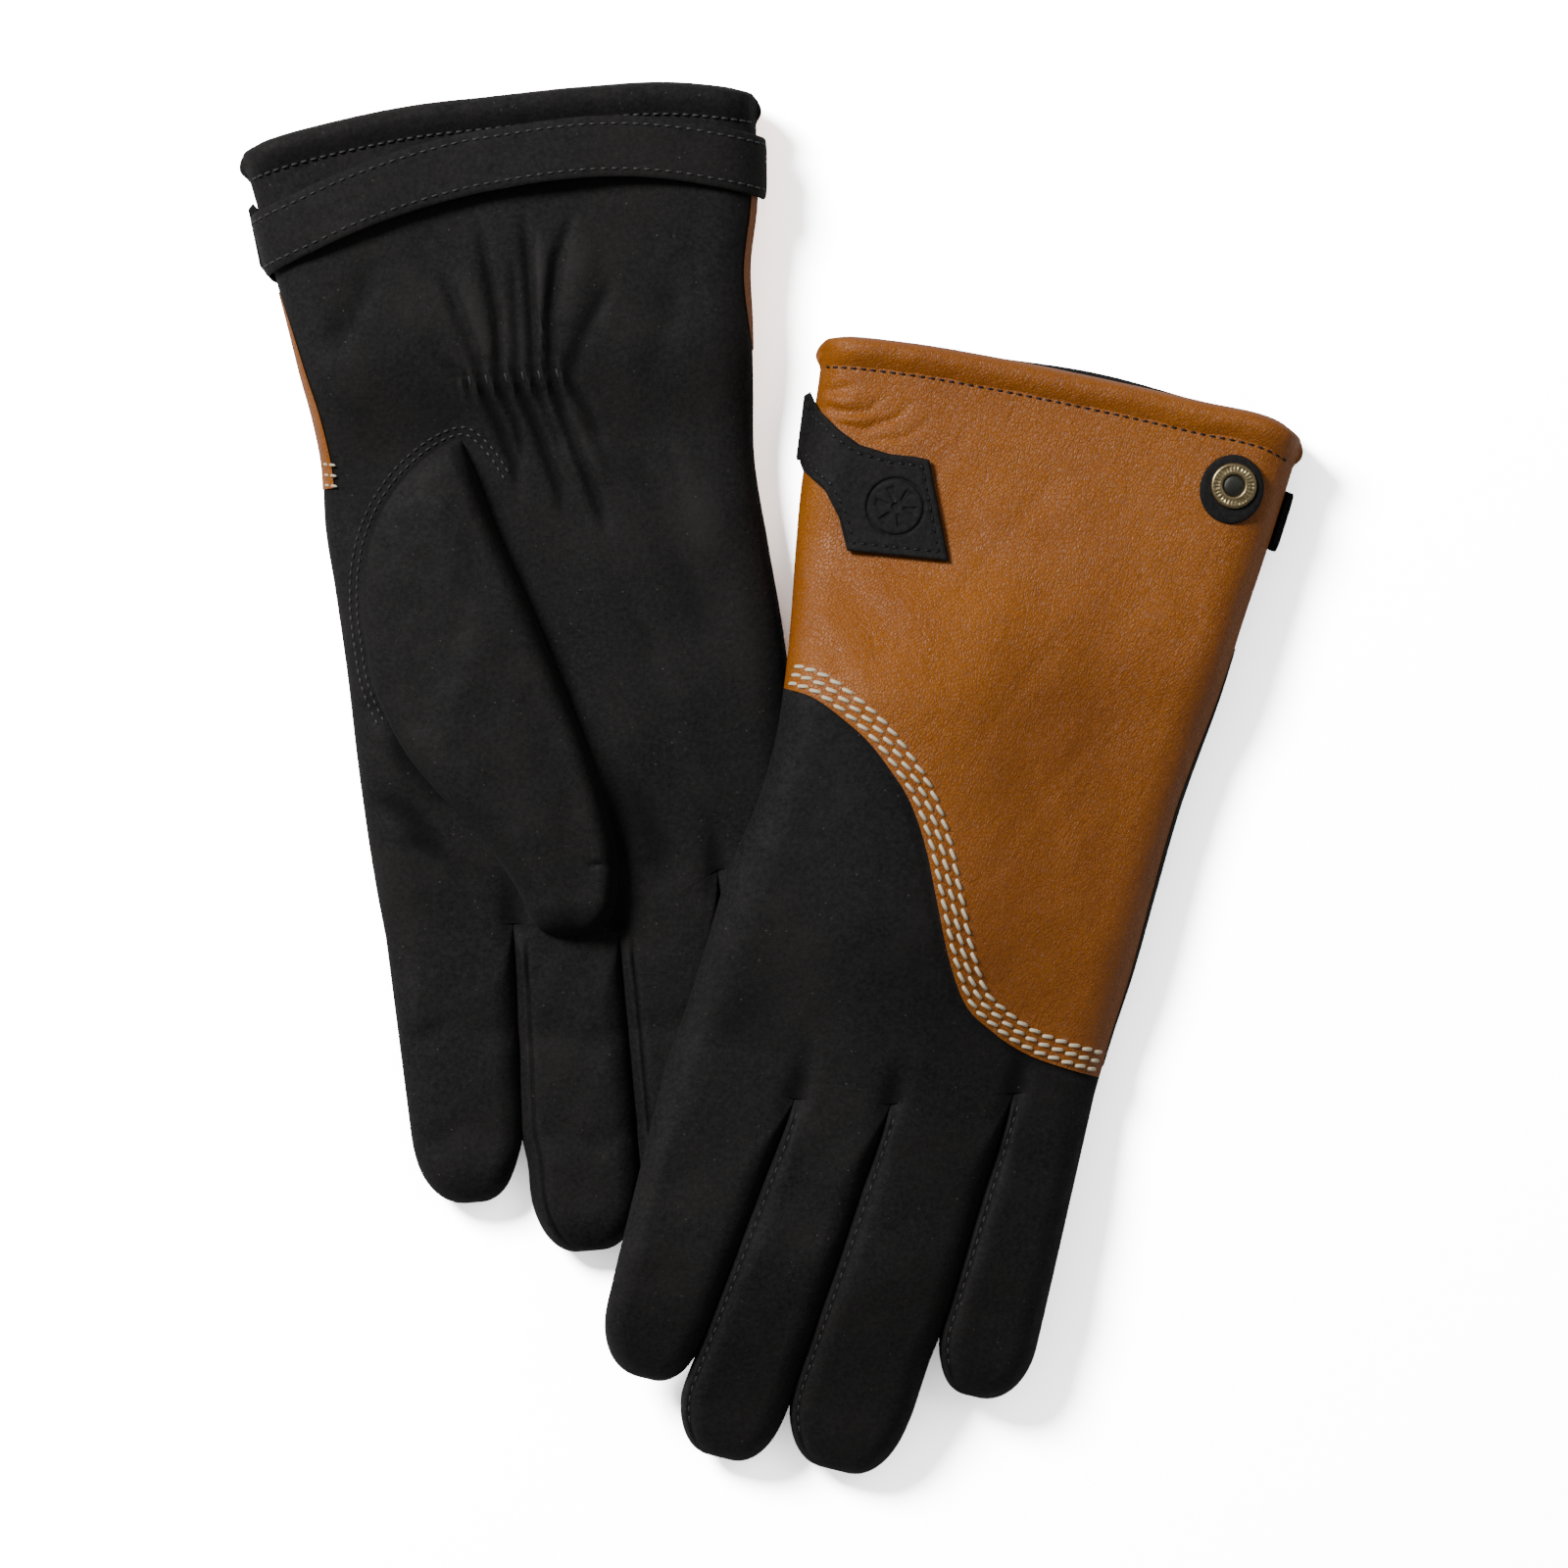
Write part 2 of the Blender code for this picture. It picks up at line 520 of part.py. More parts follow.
    def finger(self, index):
        """One finger: back and palm leather, lining, and the strip on its little-finger side."""
        name = FINGER_NAMES[index]
        moves = not self.palm_up or index < 2
        webs = self.spec["webs"]
        holder = self.frame
        if moves:
            u, v = [(webs[index][k] + webs[index + 1][k]) / 2 for k in (0, 1)]
            z = float(self.lift(np.array(u), np.array(v))) + FINGER_THICK
            holder = pivot(self.label(name + "_knuckle"), self.frame, (u, v, z))
        strip = 1 if index < 3 else 0
        u, v, edge, side = self.finger_grid(index, FINGER_ACROSS, FINGER_ALONG, FINGER_INSET)
        for piece, upper in (("back", not self.palm_up), ("palm", self.palm_up)):
            outer = self.finger_skin(u, v, edge, side, 0, upper, strip)
            inner = self.finger_skin(u, v, edge, side, LEATHER, upper, strip)
            low, high = (inner, outer) if upper else (outer, inner)
            slab(self.label(name + "_" + piece), u, v, low, high, NUBUCK, holder)
        columns = FINGER_ACROSS[1:-1]
        rows = FINGER_ALONG[:-1]
        inset = FINGER_LINING_INSET
        u, v, edge, side = self.finger_grid(index, columns, rows, inset)
        depth = FINGER_LINING_DEPTH
        high = self.finger_skin(u, v, edge, side, depth, True, strip)
        low = self.finger_skin(u, v, edge, side, depth, False, strip)
        slab(self.label(name + "_lining"), u, v, low, high, FLEECE, holder)
        if strip:
            self.fourchette(index, name, holder)

    def fourchette(self, index, name, holder):
        """The upright strip between a finger and the next one."""
        u, v, _, _ = self.finger_grid(index, [1.0], [0.015] + FINGER_ALONG[1:-1], FINGER_INSET)
        u, v = u[:, 0], v[:, 0]
        mid = self.lift(u, v) + FINGER_THICK / 2
        sections = []
        for k in range(len(u)):
            outer, inner = u[k], u[k] - FOURCHETTE_THICK
            low, high = mid[k] - FOURCHETTE_HALF, mid[k] + FOURCHETTE_HALF
            sections.append([(outer, v[k], high), (outer, v[k], low), (inner, v[k], low),
                             (inner, v[k], high)])
        swept_band(self.label(name + "_fourchette"), sections, NUBUCK, holder)

    def thumb_over_palm(self):
        """The folded thumb and the gusset that joins it to the palm."""
        (v_top, u_top), (v_low, u_low) = THUMB_FOLD
        u_mid, v_mid = (u_top + u_low) / 2, (v_top + v_low) / 2
        crest = THUMB_CLEAR + THUMB_EDGE_HEIGHT + THUMB_CROWN
        z_mid = float(self.skin(np.array(u_mid), np.array(v_mid), -crest, True))
        holder = pivot(self.label("thumb_fold"), self.frame, (u_mid, v_mid, z_mid))
        fold = THUMB_FOLD
        free = THUMB_FREE_EDGE
        self.thumb_piece("thumb", THUMB_ROWS, lambda v: np.where(
            v > v_low, along(fold, v) + KNUCKLE_GAP, along(free, v)),
            lambda v: along(THUMB_INNER_EDGE, v), holder, v_low)
        self.thumb_piece("thumb_gusset", GUSSET_ROWS, lambda v: along(GUSSET_EDGE, v),
                         lambda v: along(fold, v) - KNUCKLE_GAP, self.frame, None)

    def thumb_piece(self, piece, rows, left_edge, right_edge, holder, v_low):
        """A domed solid on the palm; a side that lies on the fold line stays upright."""
        s = np.array([0, 0.08, 0.25, 0.5, 0.75, 0.92, 1])[None, :]
        v = np.array(rows, float)[:, None] + 0 * s
        left, right = left_edge(v), right_edge(v)
        u = left + s * (right - left)
        inner, outer = right - u, u - left
        if v_low is None:
            edge = outer
        else:
            edge = np.where(v > v_low, inner, np.minimum(inner, outer))
        ends = np.minimum(v - v.min(), v.max() - v) + 1.5
        edge = np.minimum(edge, ends if v_low is not None else edge)
        low = self.skin(u, v, -THUMB_CLEAR, True)
        high = low + THUMB_EDGE_HEIGHT + THUMB_CROWN * dome(edge, THUMB_SIDE_WIDTH)
        slab(self.label(piece), u, v, low, high, NUBUCK, holder)

    def thumb_tucked(self):
        """The thumb that lies flat between the palm and the table."""
        (u0, v0), (u1, v1) = TUCKED_THUMB
        t = np.array([0, 0.06, 0.2, 0.45, 0.7, 0.88, 0.96, 1])[:, None]
        s = np.array([-1, -0.85, -0.5, 0, 0.5, 0.85, 1])[None, :]
        v = v0 + t * (v1 - v0) + 0 * s
        end = np.minimum(t, 1 - t) * abs(v1 - v0)
        half = TUCKED_HALF * (0.4 + 0.6 * dome(end, TUCKED_HALF))
        u = u0 + t * (u1 - u0) + s * half
        edge = np.minimum((1 - np.abs(s)) * half, end) + 0.8
        room = self.skin(u, v, -GAP - 0.3, False)
        height = np.minimum(room, TUCKED_HEIGHT)
        bulge = 0.12 + 0.88 * dome(edge, THUMB_SIDE_WIDTH)
        slab(self.label("thumb"), u, v, height * (1 - bulge) / 2, height * (1 + bulge) / 2,
             NUBUCK, self.frame)


def build():
    """Both gloves."""
    for piece in list(bpy.data.objects):
        bpy.data.objects.remove(piece, do_unlink=True)
    for spec in (RIGHT, LEFT):
        glove = Glove(spec)
        glove.panels()
        glove.elastic()
        glove.strap()
        glove.fastening()
        for index in range(len(FINGER_NAMES)):
            glove.finger(index)
        if glove.palm_up:
            glove.thumb_over_palm()
        else:
            glove.thumb_tucked()
    bpy.context.view_layer.update()


build()
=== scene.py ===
"""The looks of a pair of lined leather driving gloves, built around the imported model.

Each glove is drawn in its own frame, in millimetres, as in the CAD: u runs across the hand, v
from the fingers to the cuff, z up. The skins are height fields over that frame, closed into thin
slabs, and the seams, stitches, strap, tab and snap are laid on them.
"""
import math

import bmesh
import bpy
import numpy as np
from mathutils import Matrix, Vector


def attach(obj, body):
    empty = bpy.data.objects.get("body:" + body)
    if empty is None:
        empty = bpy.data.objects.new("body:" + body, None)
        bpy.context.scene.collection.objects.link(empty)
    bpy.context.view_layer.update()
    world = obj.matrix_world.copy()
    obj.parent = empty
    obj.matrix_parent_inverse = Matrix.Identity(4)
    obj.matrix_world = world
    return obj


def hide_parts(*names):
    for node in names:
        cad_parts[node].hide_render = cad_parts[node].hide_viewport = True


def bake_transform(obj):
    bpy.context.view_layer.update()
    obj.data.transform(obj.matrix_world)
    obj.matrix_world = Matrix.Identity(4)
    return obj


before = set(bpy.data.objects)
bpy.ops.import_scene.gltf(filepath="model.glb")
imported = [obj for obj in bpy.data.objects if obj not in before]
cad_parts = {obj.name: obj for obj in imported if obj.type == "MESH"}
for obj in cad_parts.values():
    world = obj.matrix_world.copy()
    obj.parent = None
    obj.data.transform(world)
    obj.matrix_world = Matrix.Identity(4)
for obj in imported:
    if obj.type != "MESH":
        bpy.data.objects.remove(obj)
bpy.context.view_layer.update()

MM = 0.001

# The flat glove, as in the CAD
HAND_THICK = 15.8
FINGER_THICK = 13.0
TAPER_LENGTH = 45.0
LEATHER = 1.1
SIDE_WIDTH = 10.0
FINGER_SIDE_WIDTH = 6.0
HEM_WIDTH = 7.5
GAUNTLET_PROUD = 0.45  # the gauntlet is sewn on over the black leather
GAUNTLET_CROWN = 3.8
STRAP_CREST = (18.0, 161.8)
STRAP_DROP_THUMB = 1 / 351.0
STRAP_DROP_LITTLE = 1 / 217.0
STRAP_LIFT = 2.4
STRAP_RAMP = (96.0, 118.0)
TAB_LIFT = 4.0
TAB_RAMP = (92.0, 118.0)
OVERLAP_LIFT = 16.7
OVERLAP_CUFF_RAMP = (58.0, 16.0)
OVERLAP_SIDE_RAMP = (92.0, 18.0)
OVERLAP_TIP_RAMP = (-165.0, -108.0)
SADDLE = [(-70, 88.6), (-54, 88.4), (-47.4, 87.5), (-40.7, 87), (-32.3, 83.7), (-25.5, 80.1),
          (-18.9, 74.9), (-12.7, 68.9), (-6.5, 59.3), (-1.2, 48.3), (4.3, 36.9), (10.5, 27.2),
          (18.8, 21.8), (27.9, 18.6), (36.4, 17.6), (46, 17.2), (60, 17.2)]
BAND_WIDTH = 14.3
STUD_CENTRE = (42.7, 158.5)

# The tab's two long rims, from its tacked end: share of the length, then (u, v)
TAB_UPPER_RIM = [(0, -59.4, 155.0), (0.05, -58.2, 156.3), (0.16, -55.1, 152.4),
                 (0.31, -49.6, 149.0), (0.46, -44.0, 146.7), (0.68, -36.5, 146.3),
                 (0.87, -31.0, 147.1), (1.0, -27.4, 147.2)]
TAB_LOWER_RIM = [(0, -57.8, 141.5), (0.06, -55.4, 137.9), (0.14, -52.5, 136.2),
                 (0.24, -49.2, 134.4), (0.36, -44.5, 128.9), (0.48, -40.9, 122.0),
                 (1.0, -17.3, 125.3)]
EMBOSS_CENTRE = (-32.4, 134.6)

# Turned parts of the snap: (radius, height, milled or not) from the middle of the hidden face
WASHER_PROFILE = [(2.6, 0.1, 0), (7.0, 0.0, 0), (7.35, 0.15, 0), (7.45, 0.5, 0), (7.35, 0.95, 0),
                  (7.0, 1.15, 0), (6.2, 1.2, 0), (2.6, 1.1, 0)]
STUD_PROFILE = [(0.01, 1.12, 0), (5.0, 1.12, 0), (5.25, 1.25, 0), (5.35, 1.6, 0), (5.2, 1.95, 0),
                (4.9, 2.12, 0), (4.7, 2.14, 0), (4.5, 2.08, 1), (4.1, 2.1, 1), (3.7, 2.12, 1),
                (3.35, 2.14, 0), (3.1, 2.2, 0), (2.8, 2.15, 0), (2.55, 1.9, 0), (2.45, 1.35, 0),
                (2.3, 1.3, 0), (2.1, 1.42, 0), (1.2, 1.5, 0), (0.01, 1.52, 0)]
CORE_PROFILE = [(0.01, 1.3, 0), (2.42, 1.3, 0), (2.42, 1.42, 0), (1.9, 1.62, 0), (1.0, 1.72, 0),
                (0.01, 1.76, 0)]

# The gathers at the wrist, and the folds of each skin: a line of (u, v), width and height
GATHER_ROW = 109.5
GATHERS = (-13.0, -10.0, -6.1, -1.6, 2.4, 6.2, 10.4)
WRIST_FOLDS = [([(-3.8, 112), (-3.4, 124), (-6.2, 150)], 1.2, -1.5),
               ([(0.5, 112), (0.9, 124), (1.8, 142)], 1.1, -0.8),
               ([(4.3, 112), (4.8, 126), (5.0, 153)], 1.3, -1.6),
               ([(8.1, 112), (8.9, 124), (11.6, 136), (17.5, 150)], 1.4, -1.7),
               ([(-8.0, 112), (-10.5, 121), (-16, 139)], 1.5, -1.1),
               ([(12.6, 111), (16.5, 119), (26, 134)], 1.8, -0.9),
               ([(-12, 110), (-22, 122)], 1.8, -0.7),
               ([(6.2, 114), (6.9, 126), (9.0, 146)], 1.9, 1.3),
               ([(-6, 114), (-8, 124), (-11, 140)], 2.8, 0.8), ([(12, 120), (20, 146)], 4.0, 0.9),
               ([(-8.0, 107), (-5.2, 99), (-2.4, 90), (-1.6, 80)], 1.2, -1.6),
               ([(-3.8, 107), (-1.2, 99), (0.4, 88)], 1.0, -1.3),
               ([(0.5, 107), (4.0, 96), (7.2, 84), (8.4, 74)], 1.2, -1.7),
               ([(4.4, 107), (7.2, 99), (10.2, 89)], 1.0, -1.0),
               ([(8.2, 107), (10.6, 97), (14.0, 86), (19, 68)], 1.3, -1.7),
               ([(12.4, 107), (15.8, 100), (19.5, 91)], 1.1, -1.1),
               ([(6.2, 104), (11.6, 90), (15, 76)], 1.5, 0.8), ([(10.5, 102), (20, 80)], 2.2, 0.7)]
CUFF_FOLDS = [([(-57.7, 157.6), (-52.7, 157.3), (-47, 161.5)], 0.9, -0.8),
              ([(-54, 153.8), (-49, 153.0), (-44, 154.6), (-40, 161)], 0.9, -0.7),
              ([(-50, 150.4), (-44, 150.2), (-37, 155), (-33, 162)], 0.8, -0.6),
              ([(-41, 148.5), (-34, 151), (-28, 158)], 0.8, -0.45),
              ([(-54.5, 155.5), (-50, 155.2), (-45, 158)], 1.5, 0.8),
              ([(-50, 152), (-46, 152.2), (-41, 156)], 1.3, 0.6),
              ([(-20, 155), (-34, 128), (-44, 108)], 1.8, -0.16),
              ([(2, 150), (-12, 122), (-26, 98)], 2.0, -0.16),
              ([(16, 120), (2, 92), (-8, 70)], 2.2, -0.18),
              ([(24, 92), (12, 66), (8, 52)], 2.2, -0.18)]
PALM_FOLDS = [((-38, 28), (-22, 10), 3.0, -1.0), ((-41, 16), (-26, 0), 2.6, -0.9),
              ((-36, 6), (-20, -8), 2.2, -0.9), ((16, 20), (24, -12), 4.0, -0.8),
              ((26, 44), (36, 2), 4.5, 0.8), ((20, 60), (30, 20), 4.0, -0.7),
              ((12, 30), (14, -14), 3.0, -0.9), ((34, 98), (42, 60), 5.0, 0.7),
              ((38, 130), (30, 104), 4.0, -0.6), ((-30, 140), (-46, 118), 3.5, -0.7),
              ((22, 96), (40, 40), 4.0, -0.6), ((-44, 40), (-30, 22), 2.4, -0.8)]
BACK_FOLDS = [((-46, 118), (-22, 100), 4.0, -0.5), ((-48, 108), (-28, 92), 3.0, 0.4),
              ((-10, 150), (12, 132), 5.0, -0.35), ((14, 120), (30, 92), 5.0, -0.35),
              ((30, 140), (44, 120), 4.0, -0.4), ((8, 84), (26, 62), 4.0, -0.35),
              ((-30, 140), (-12, 122), 4.0, 0.3), ((28, 58), (42, 36), 4.0, 0.3)]
THUMB_FOLDS = [((-20, 80), (-34, 52), 4, -0.5), ((-12, 60), (-26, 22), 5, 0.5),
               ((-30, 34), (-12, 10), 3.5, -0.5), ((-4, 40), (6, 6), 4, -0.5),
               ((6.5, -4.8), (14, -6.8), 0.8, -1.0), ((12.4, -6), (12.8, -16), 0.8, -0.8)]
SADDLE_ROWS = (1.5, 3.6, 5.7)
# Where the other side's leather comes round an edge: (v, width shown) on the thumb side and
# on the little-finger side
LEFT_TURN = ([(0, 0.0), (1, 0.0)], [(20, 0.1), (40, 0.4), (70, 0.7), (100, 0.5), (122, 0.1)])
RIGHT_TURN = ([(88.3, 2.7), (95, 2.3), (108, 1.8), (122, 1.0), (135, 0.1)],
              [(112, 0.0), (122, 1.1), (138, 1.3), (150, 1.2), (160, 0.8)])

FINGERS = ("index", "middle", "ring", "little")
LEFT = dict(
    name="left", place=(27.7, -75.1), tilt=14.0, palm_up=False,
    thumb_edge=[(-30, -52.6), (-4.4, -52.9), (9, -51.6), (26, -50.5), (45, -49.5), (58, -47.3),
                (74, -46.4), (88, -47.5), (102, -49.5), (120, -52.7), (134, -54.9), (156, -56.6),
                (176, -59)],
    little_edge=[(-10, 46), (13, 46), (27, 46.6), (41, 47.7), (63, 48.4), (81, 49), (112, 52),
                 (127, 52.8), (145, 54.2), (176, 56)],
    cuff=[(-62, 168.9), (-56, 170.2), (-38, 172.8), (-17, 174.4), (5, 175.4), (31, 176),
          (49, 176), (58, 173.5)],
    webs=[(-52.9, -4.4), (-21.9, -4.2), (0, 0), (27.3, 9.2), (46, 13)],
    tips=[(-40.7, -64.5, 12.0), (-18.5, -78.0, 12.6), (8.2, -72.6, 14.4), (35.9, -51.0, 11.3)])
RIGHT = dict(
    name="right", place=(-49.6, -16.0), tilt=-5.0, palm_up=True,
    thumb_edge=[(-30, -42), (-16.5, -42.5), (-7.5, -43.4), (22, -45.2), (45, -45.9), (65, -47),
                (79, -48), (95, -47.6), (105, -48.7), (115, -50.5), (127, -52.4), (136, -53.9),
                (155, -57.1), (172, -60.6)],
    little_edge=[(-20, 57), (-8, 57), (20, 57.4), (47, 56.5), (66, 54.9), (89, 53.4),
                 (101.6, 54.4), (119, 55.6), (131.5, 56.2), (145, 58.9), (172, 61)],
    cuff=[(-62, 168), (-50, 171), (-37.3, 173.2), (-17.7, 175.4), (-1.8, 175.8), (20.2, 176.2),
          (40.5, 175.6), (61, 172)],
    webs=[(-42.4, -16.5), (-12.3, -16.5), (12, -20.7), (36.4, -8.1), (57, -8)],
    tips=[(-27.9, -68.5, 12.4), (-1.0, -81.5, 13.0), (24.2, -79.0, 11.5), (46.9, -62.0, 10.6)])

# The thumb folded over the right palm: (v, u) along its outline, and its fold line
THUMB_LEFT = [(97, -16.5), (95.2, -20.5), (91, -26.8), (84.6, -33), (77.6, -37.1), (70.3, -39.6),
              (59.4, -41), (52, -40.8), (40.9, -39.7), (34.1, -37.4), (25.3, -33.6),
              (16.7, -27.9), (4.3, -18.3), (-3.2, -13.4), (-10.6, -9.6), (-16, -7.5)]
THUMB_RIGHT = [(97, -14.5), (90, -12.2), (78.8, -9.1), (56, -1.4), (37, 4.4), (10.1, 11.5),
               (-4, 13.4), (-12, 12.6), (-16, 11)]
THUMB_END = -20.8
THUMB_FOLD = [(-16.5, 95.0), (-34.0, 25.3)]


def ramp(x, low, high):
    """Smooth step from 0 at low to 1 at high."""
    t = np.clip((x - low) / (high - low), 0, 1)
    return t * t * (3 - 2 * t)


def bell(x, middle, width):
    """A bell curve of height 1."""
    return np.exp(-((x - middle) / width) ** 2)


def dome(edge, width):
    """A quarter ellipse: 0 on the edge, 1 at the given distance inside it."""
    x = 1 - np.clip(edge / width, 0, 1)
    return np.sqrt(np.maximum(1 - x * x, 0))


def along(points, x):
    """A smooth curve through (place, value) points, read at x."""
    points = sorted(points)
    px = np.array([p[0] for p in points], float)
    py = np.array([p[1] for p in points], float)
    slope = np.gradient(py, px)
    x = np.clip(x, px[0], px[-1])
    i = np.clip(np.searchsorted(px, x) - 1, 0, len(px) - 2)
    h = px[i + 1] - px[i]
    t = (x - px[i]) / h
    return (py[i] * (1 + 2 * t) * (1 - t) ** 2 + py[i + 1] * t * t * (3 - 2 * t)
            + h * t * (1 - t) * (slope[i] * (1 - t) - slope[i + 1] * t))


def rolls(u, v, seed, size, count=14):
    """Soft random swells of about the given wavelength in mm, between -1 and 1."""
    draw = np.random.RandomState(seed)
    total = 0 * u
    for _ in range(count):
        angle, phase = draw.uniform(0, 2 * math.pi, 2)
        wave = 2 * math.pi / (size * draw.uniform(0.6, 1.7))
        total = total + np.sin(wave * (u * math.cos(angle) + v * math.sin(angle)) + phase)
    return total / math.sqrt(count) * 0.8


def crease(u, v, start, end, width, wander=0.0):
    """A soft ridge along a line from start to end, fading at both ends."""
    (u0, v0), (u1, v1) = start, end
    length = math.hypot(u1 - u0, v1 - v0)
    du, dv = (u1 - u0) / length, (v1 - v0) / length
    t = ((u - u0) * du + (v - v0) * dv) / length
    off = (u - u0) * dv - (v - v0) * du + wander * np.sin(3 * t)
    return np.exp(-(off / width) ** 2) * ramp(t, -0.1, 0.25) * ramp(t, 1.1, 0.7)


def fold(u, v, line, width):
    """One soft ridge that follows a whole line of points and fades at its ends."""
    points = np.array(line, float)
    steps = np.linalg.norm(np.diff(points, axis=0), axis=1)
    starts = np.concatenate([[0], np.cumsum(steps)])
    nearest, place = np.full(np.shape(u), 1e9), np.zeros(np.shape(u))
    for k, (a, b) in enumerate(zip(points[:-1], points[1:])):
        way = (b - a) / steps[k]
        t = np.clip((u - a[0]) * way[0] + (v - a[1]) * way[1], 0, steps[k])
        off = np.hypot(u - a[0] - t * way[0], v - a[1] - t * way[1])
        closer = off < nearest
        place = np.where(closer, starts[k] + t, place)
        nearest = np.where(closer, off, nearest)
    t = place / starts[-1]
    return np.exp(-(nearest / width) ** 2) * ramp(t, -0.1, 0.12) * ramp(t, 1.0, 0.55)


# ---------------------------------------------------------------- materials

def new_material(name):
    """A node material, its Principled shader, and the object's own coordinates in metres."""
    made = bpy.data.materials.new(name)
    made.use_nodes = True
    tree = made.node_tree
    shader = tree.nodes["Principled BSDF"]
    coords = tree.nodes.new("ShaderNodeTexCoord")
    return made, tree, shader, coords.outputs["Object"]


def noise(tree, place, scale, detail=4.0, rough=0.6, distort=0.0):
    """A noise texture's factor."""
    node = tree.nodes.new("ShaderNodeTexNoise")
    node.inputs["Scale"].default_value = scale
    node.inputs["Detail"].default_value = detail
    node.inputs["Roughness"].default_value = rough
    node.inputs["Distortion"].default_value = distort
    tree.links.new(place, node.inputs["Vector"])
    return node.outputs["Fac"]


def cells(tree, place, scale, feature="F1", randomness=1.0):
    """A cell texture's distance."""
    node = tree.nodes.new("ShaderNodeTexVoronoi")
    node.feature = feature
    node.inputs["Scale"].default_value = scale
    node.inputs["Randomness"].default_value = randomness
    tree.links.new(place, node.inputs["Vector"])
    return node.outputs["Distance"]


def stretch(tree, value, low, high, new_low=0.0, new_high=1.0):
    """A value moved from one range to another, and kept inside it."""
    node = tree.nodes.new("ShaderNodeMapRange")
    node.inputs["From Min"].default_value = low
    node.inputs["From Max"].default_value = high
    node.inputs["To Min"].default_value = new_low
    node.inputs["To Max"].default_value = new_high
    tree.links.new(value, node.inputs["Value"])
    return node.outputs["Result"]


def mix(tree, amount, first, second, blend="MIX"):
    """Two colours mixed; each is a socket or a colour."""
    node = tree.nodes.new("ShaderNodeMix")
    node.data_type = "RGBA"
    node.blend_type = blend
    for socket, value in ((node.inputs[0], amount), (node.inputs[6], first),
                          (node.inputs[7], second)):
        if isinstance(value, (int, float, tuple)):
            socket.default_value = value
        else:
            tree.links.new(value, socket)
    return node.outputs[2]


def bump(tree, shader, layers):
    """Chained bumps: each layer is (height, distance in metres, strength)."""
    normal = None
    for height, distance, strength in layers:
        node = tree.nodes.new("ShaderNodeBump")
        node.inputs["Distance"].default_value = distance
        node.inputs["Strength"].default_value = strength
        tree.links.new(height, node.inputs["Height"])
        if normal is not None:
            tree.links.new(normal, node.inputs["Normal"])
        normal = node.outputs["Normal"]
    tree.links.new(normal, shader.inputs["Normal"])


def nubuck_material():
    """Matte black leather with a fine nap, faint brown patches and a few pale flecks, with painted
    shade in its creases and a painted highlight on its ridges.
    """
    made, tree, shader, place = new_material("black_nubuck_look")
    patches = stretch(tree, noise(tree, place, 45, 5), 0.35, 0.7)
    nap = stretch(tree, noise(tree, place, 950, 5, 0.75), 0.36, 0.72)
    ground = mix(tree, patches, (0.0070, 0.0068, 0.0072, 1), (0.0160, 0.0142, 0.0136, 1))
    ground = mix(tree, nap, ground, (0.0275, 0.0255, 0.0252, 1))
    # Painted shade and highlight: the relief attribute, each point's height over the plain skin,
    # darkens the hollows and lightens the ridges.
    relief = tree.nodes.new("ShaderNodeAttribute")
    relief.attribute_name = "relief"
    painted_ridge_highlight = stretch(tree, relief.outputs["Fac"], 0.25, 1.4, 0, 0.8)
    ground = mix(tree, painted_ridge_highlight, ground, (0.040, 0.037, 0.036, 1))
    painted_valley_shade = stretch(tree, relief.outputs["Fac"], -0.25, -1.1, 0, 0.85)
    ground = mix(tree, painted_valley_shade, ground, (0.0028, 0.0027, 0.0028, 1))
    flecks = stretch(tree, cells(tree, place, 420), 0.11, 0.04)
    rare = stretch(tree, noise(tree, place, 240, 2), 0.45, 0.62)
    both = tree.nodes.new("ShaderNodeMath")
    both.operation = "MULTIPLY"
    tree.links.new(flecks, both.inputs[0])
    tree.links.new(rare, both.inputs[1])
    colour = mix(tree, both.outputs[0], ground, (0.10, 0.092, 0.088, 1))
    tree.links.new(colour, shader.inputs["Base Color"])
    rough = stretch(tree, noise(tree, place, 300, 3), 0.3, 0.7, 0.62, 0.8)
    tree.links.new(rough, shader.inputs["Roughness"])
    shader.inputs["Specular IOR Level"].default_value = 0.16
    shader.inputs["Sheen Weight"].default_value = 0.03
    shader.inputs["Sheen Roughness"].default_value = 0.5
    bump(tree, shader, [(noise(tree, place, 2600, 3, 0.7), 0.0002, 0.35),
                        (noise(tree, place, 700, 3, 0.6), 0.0004, 0.25),
                        (noise(tree, place, 170, 4, 0.55, 0.4), 0.0010, 0.22)])
    return made


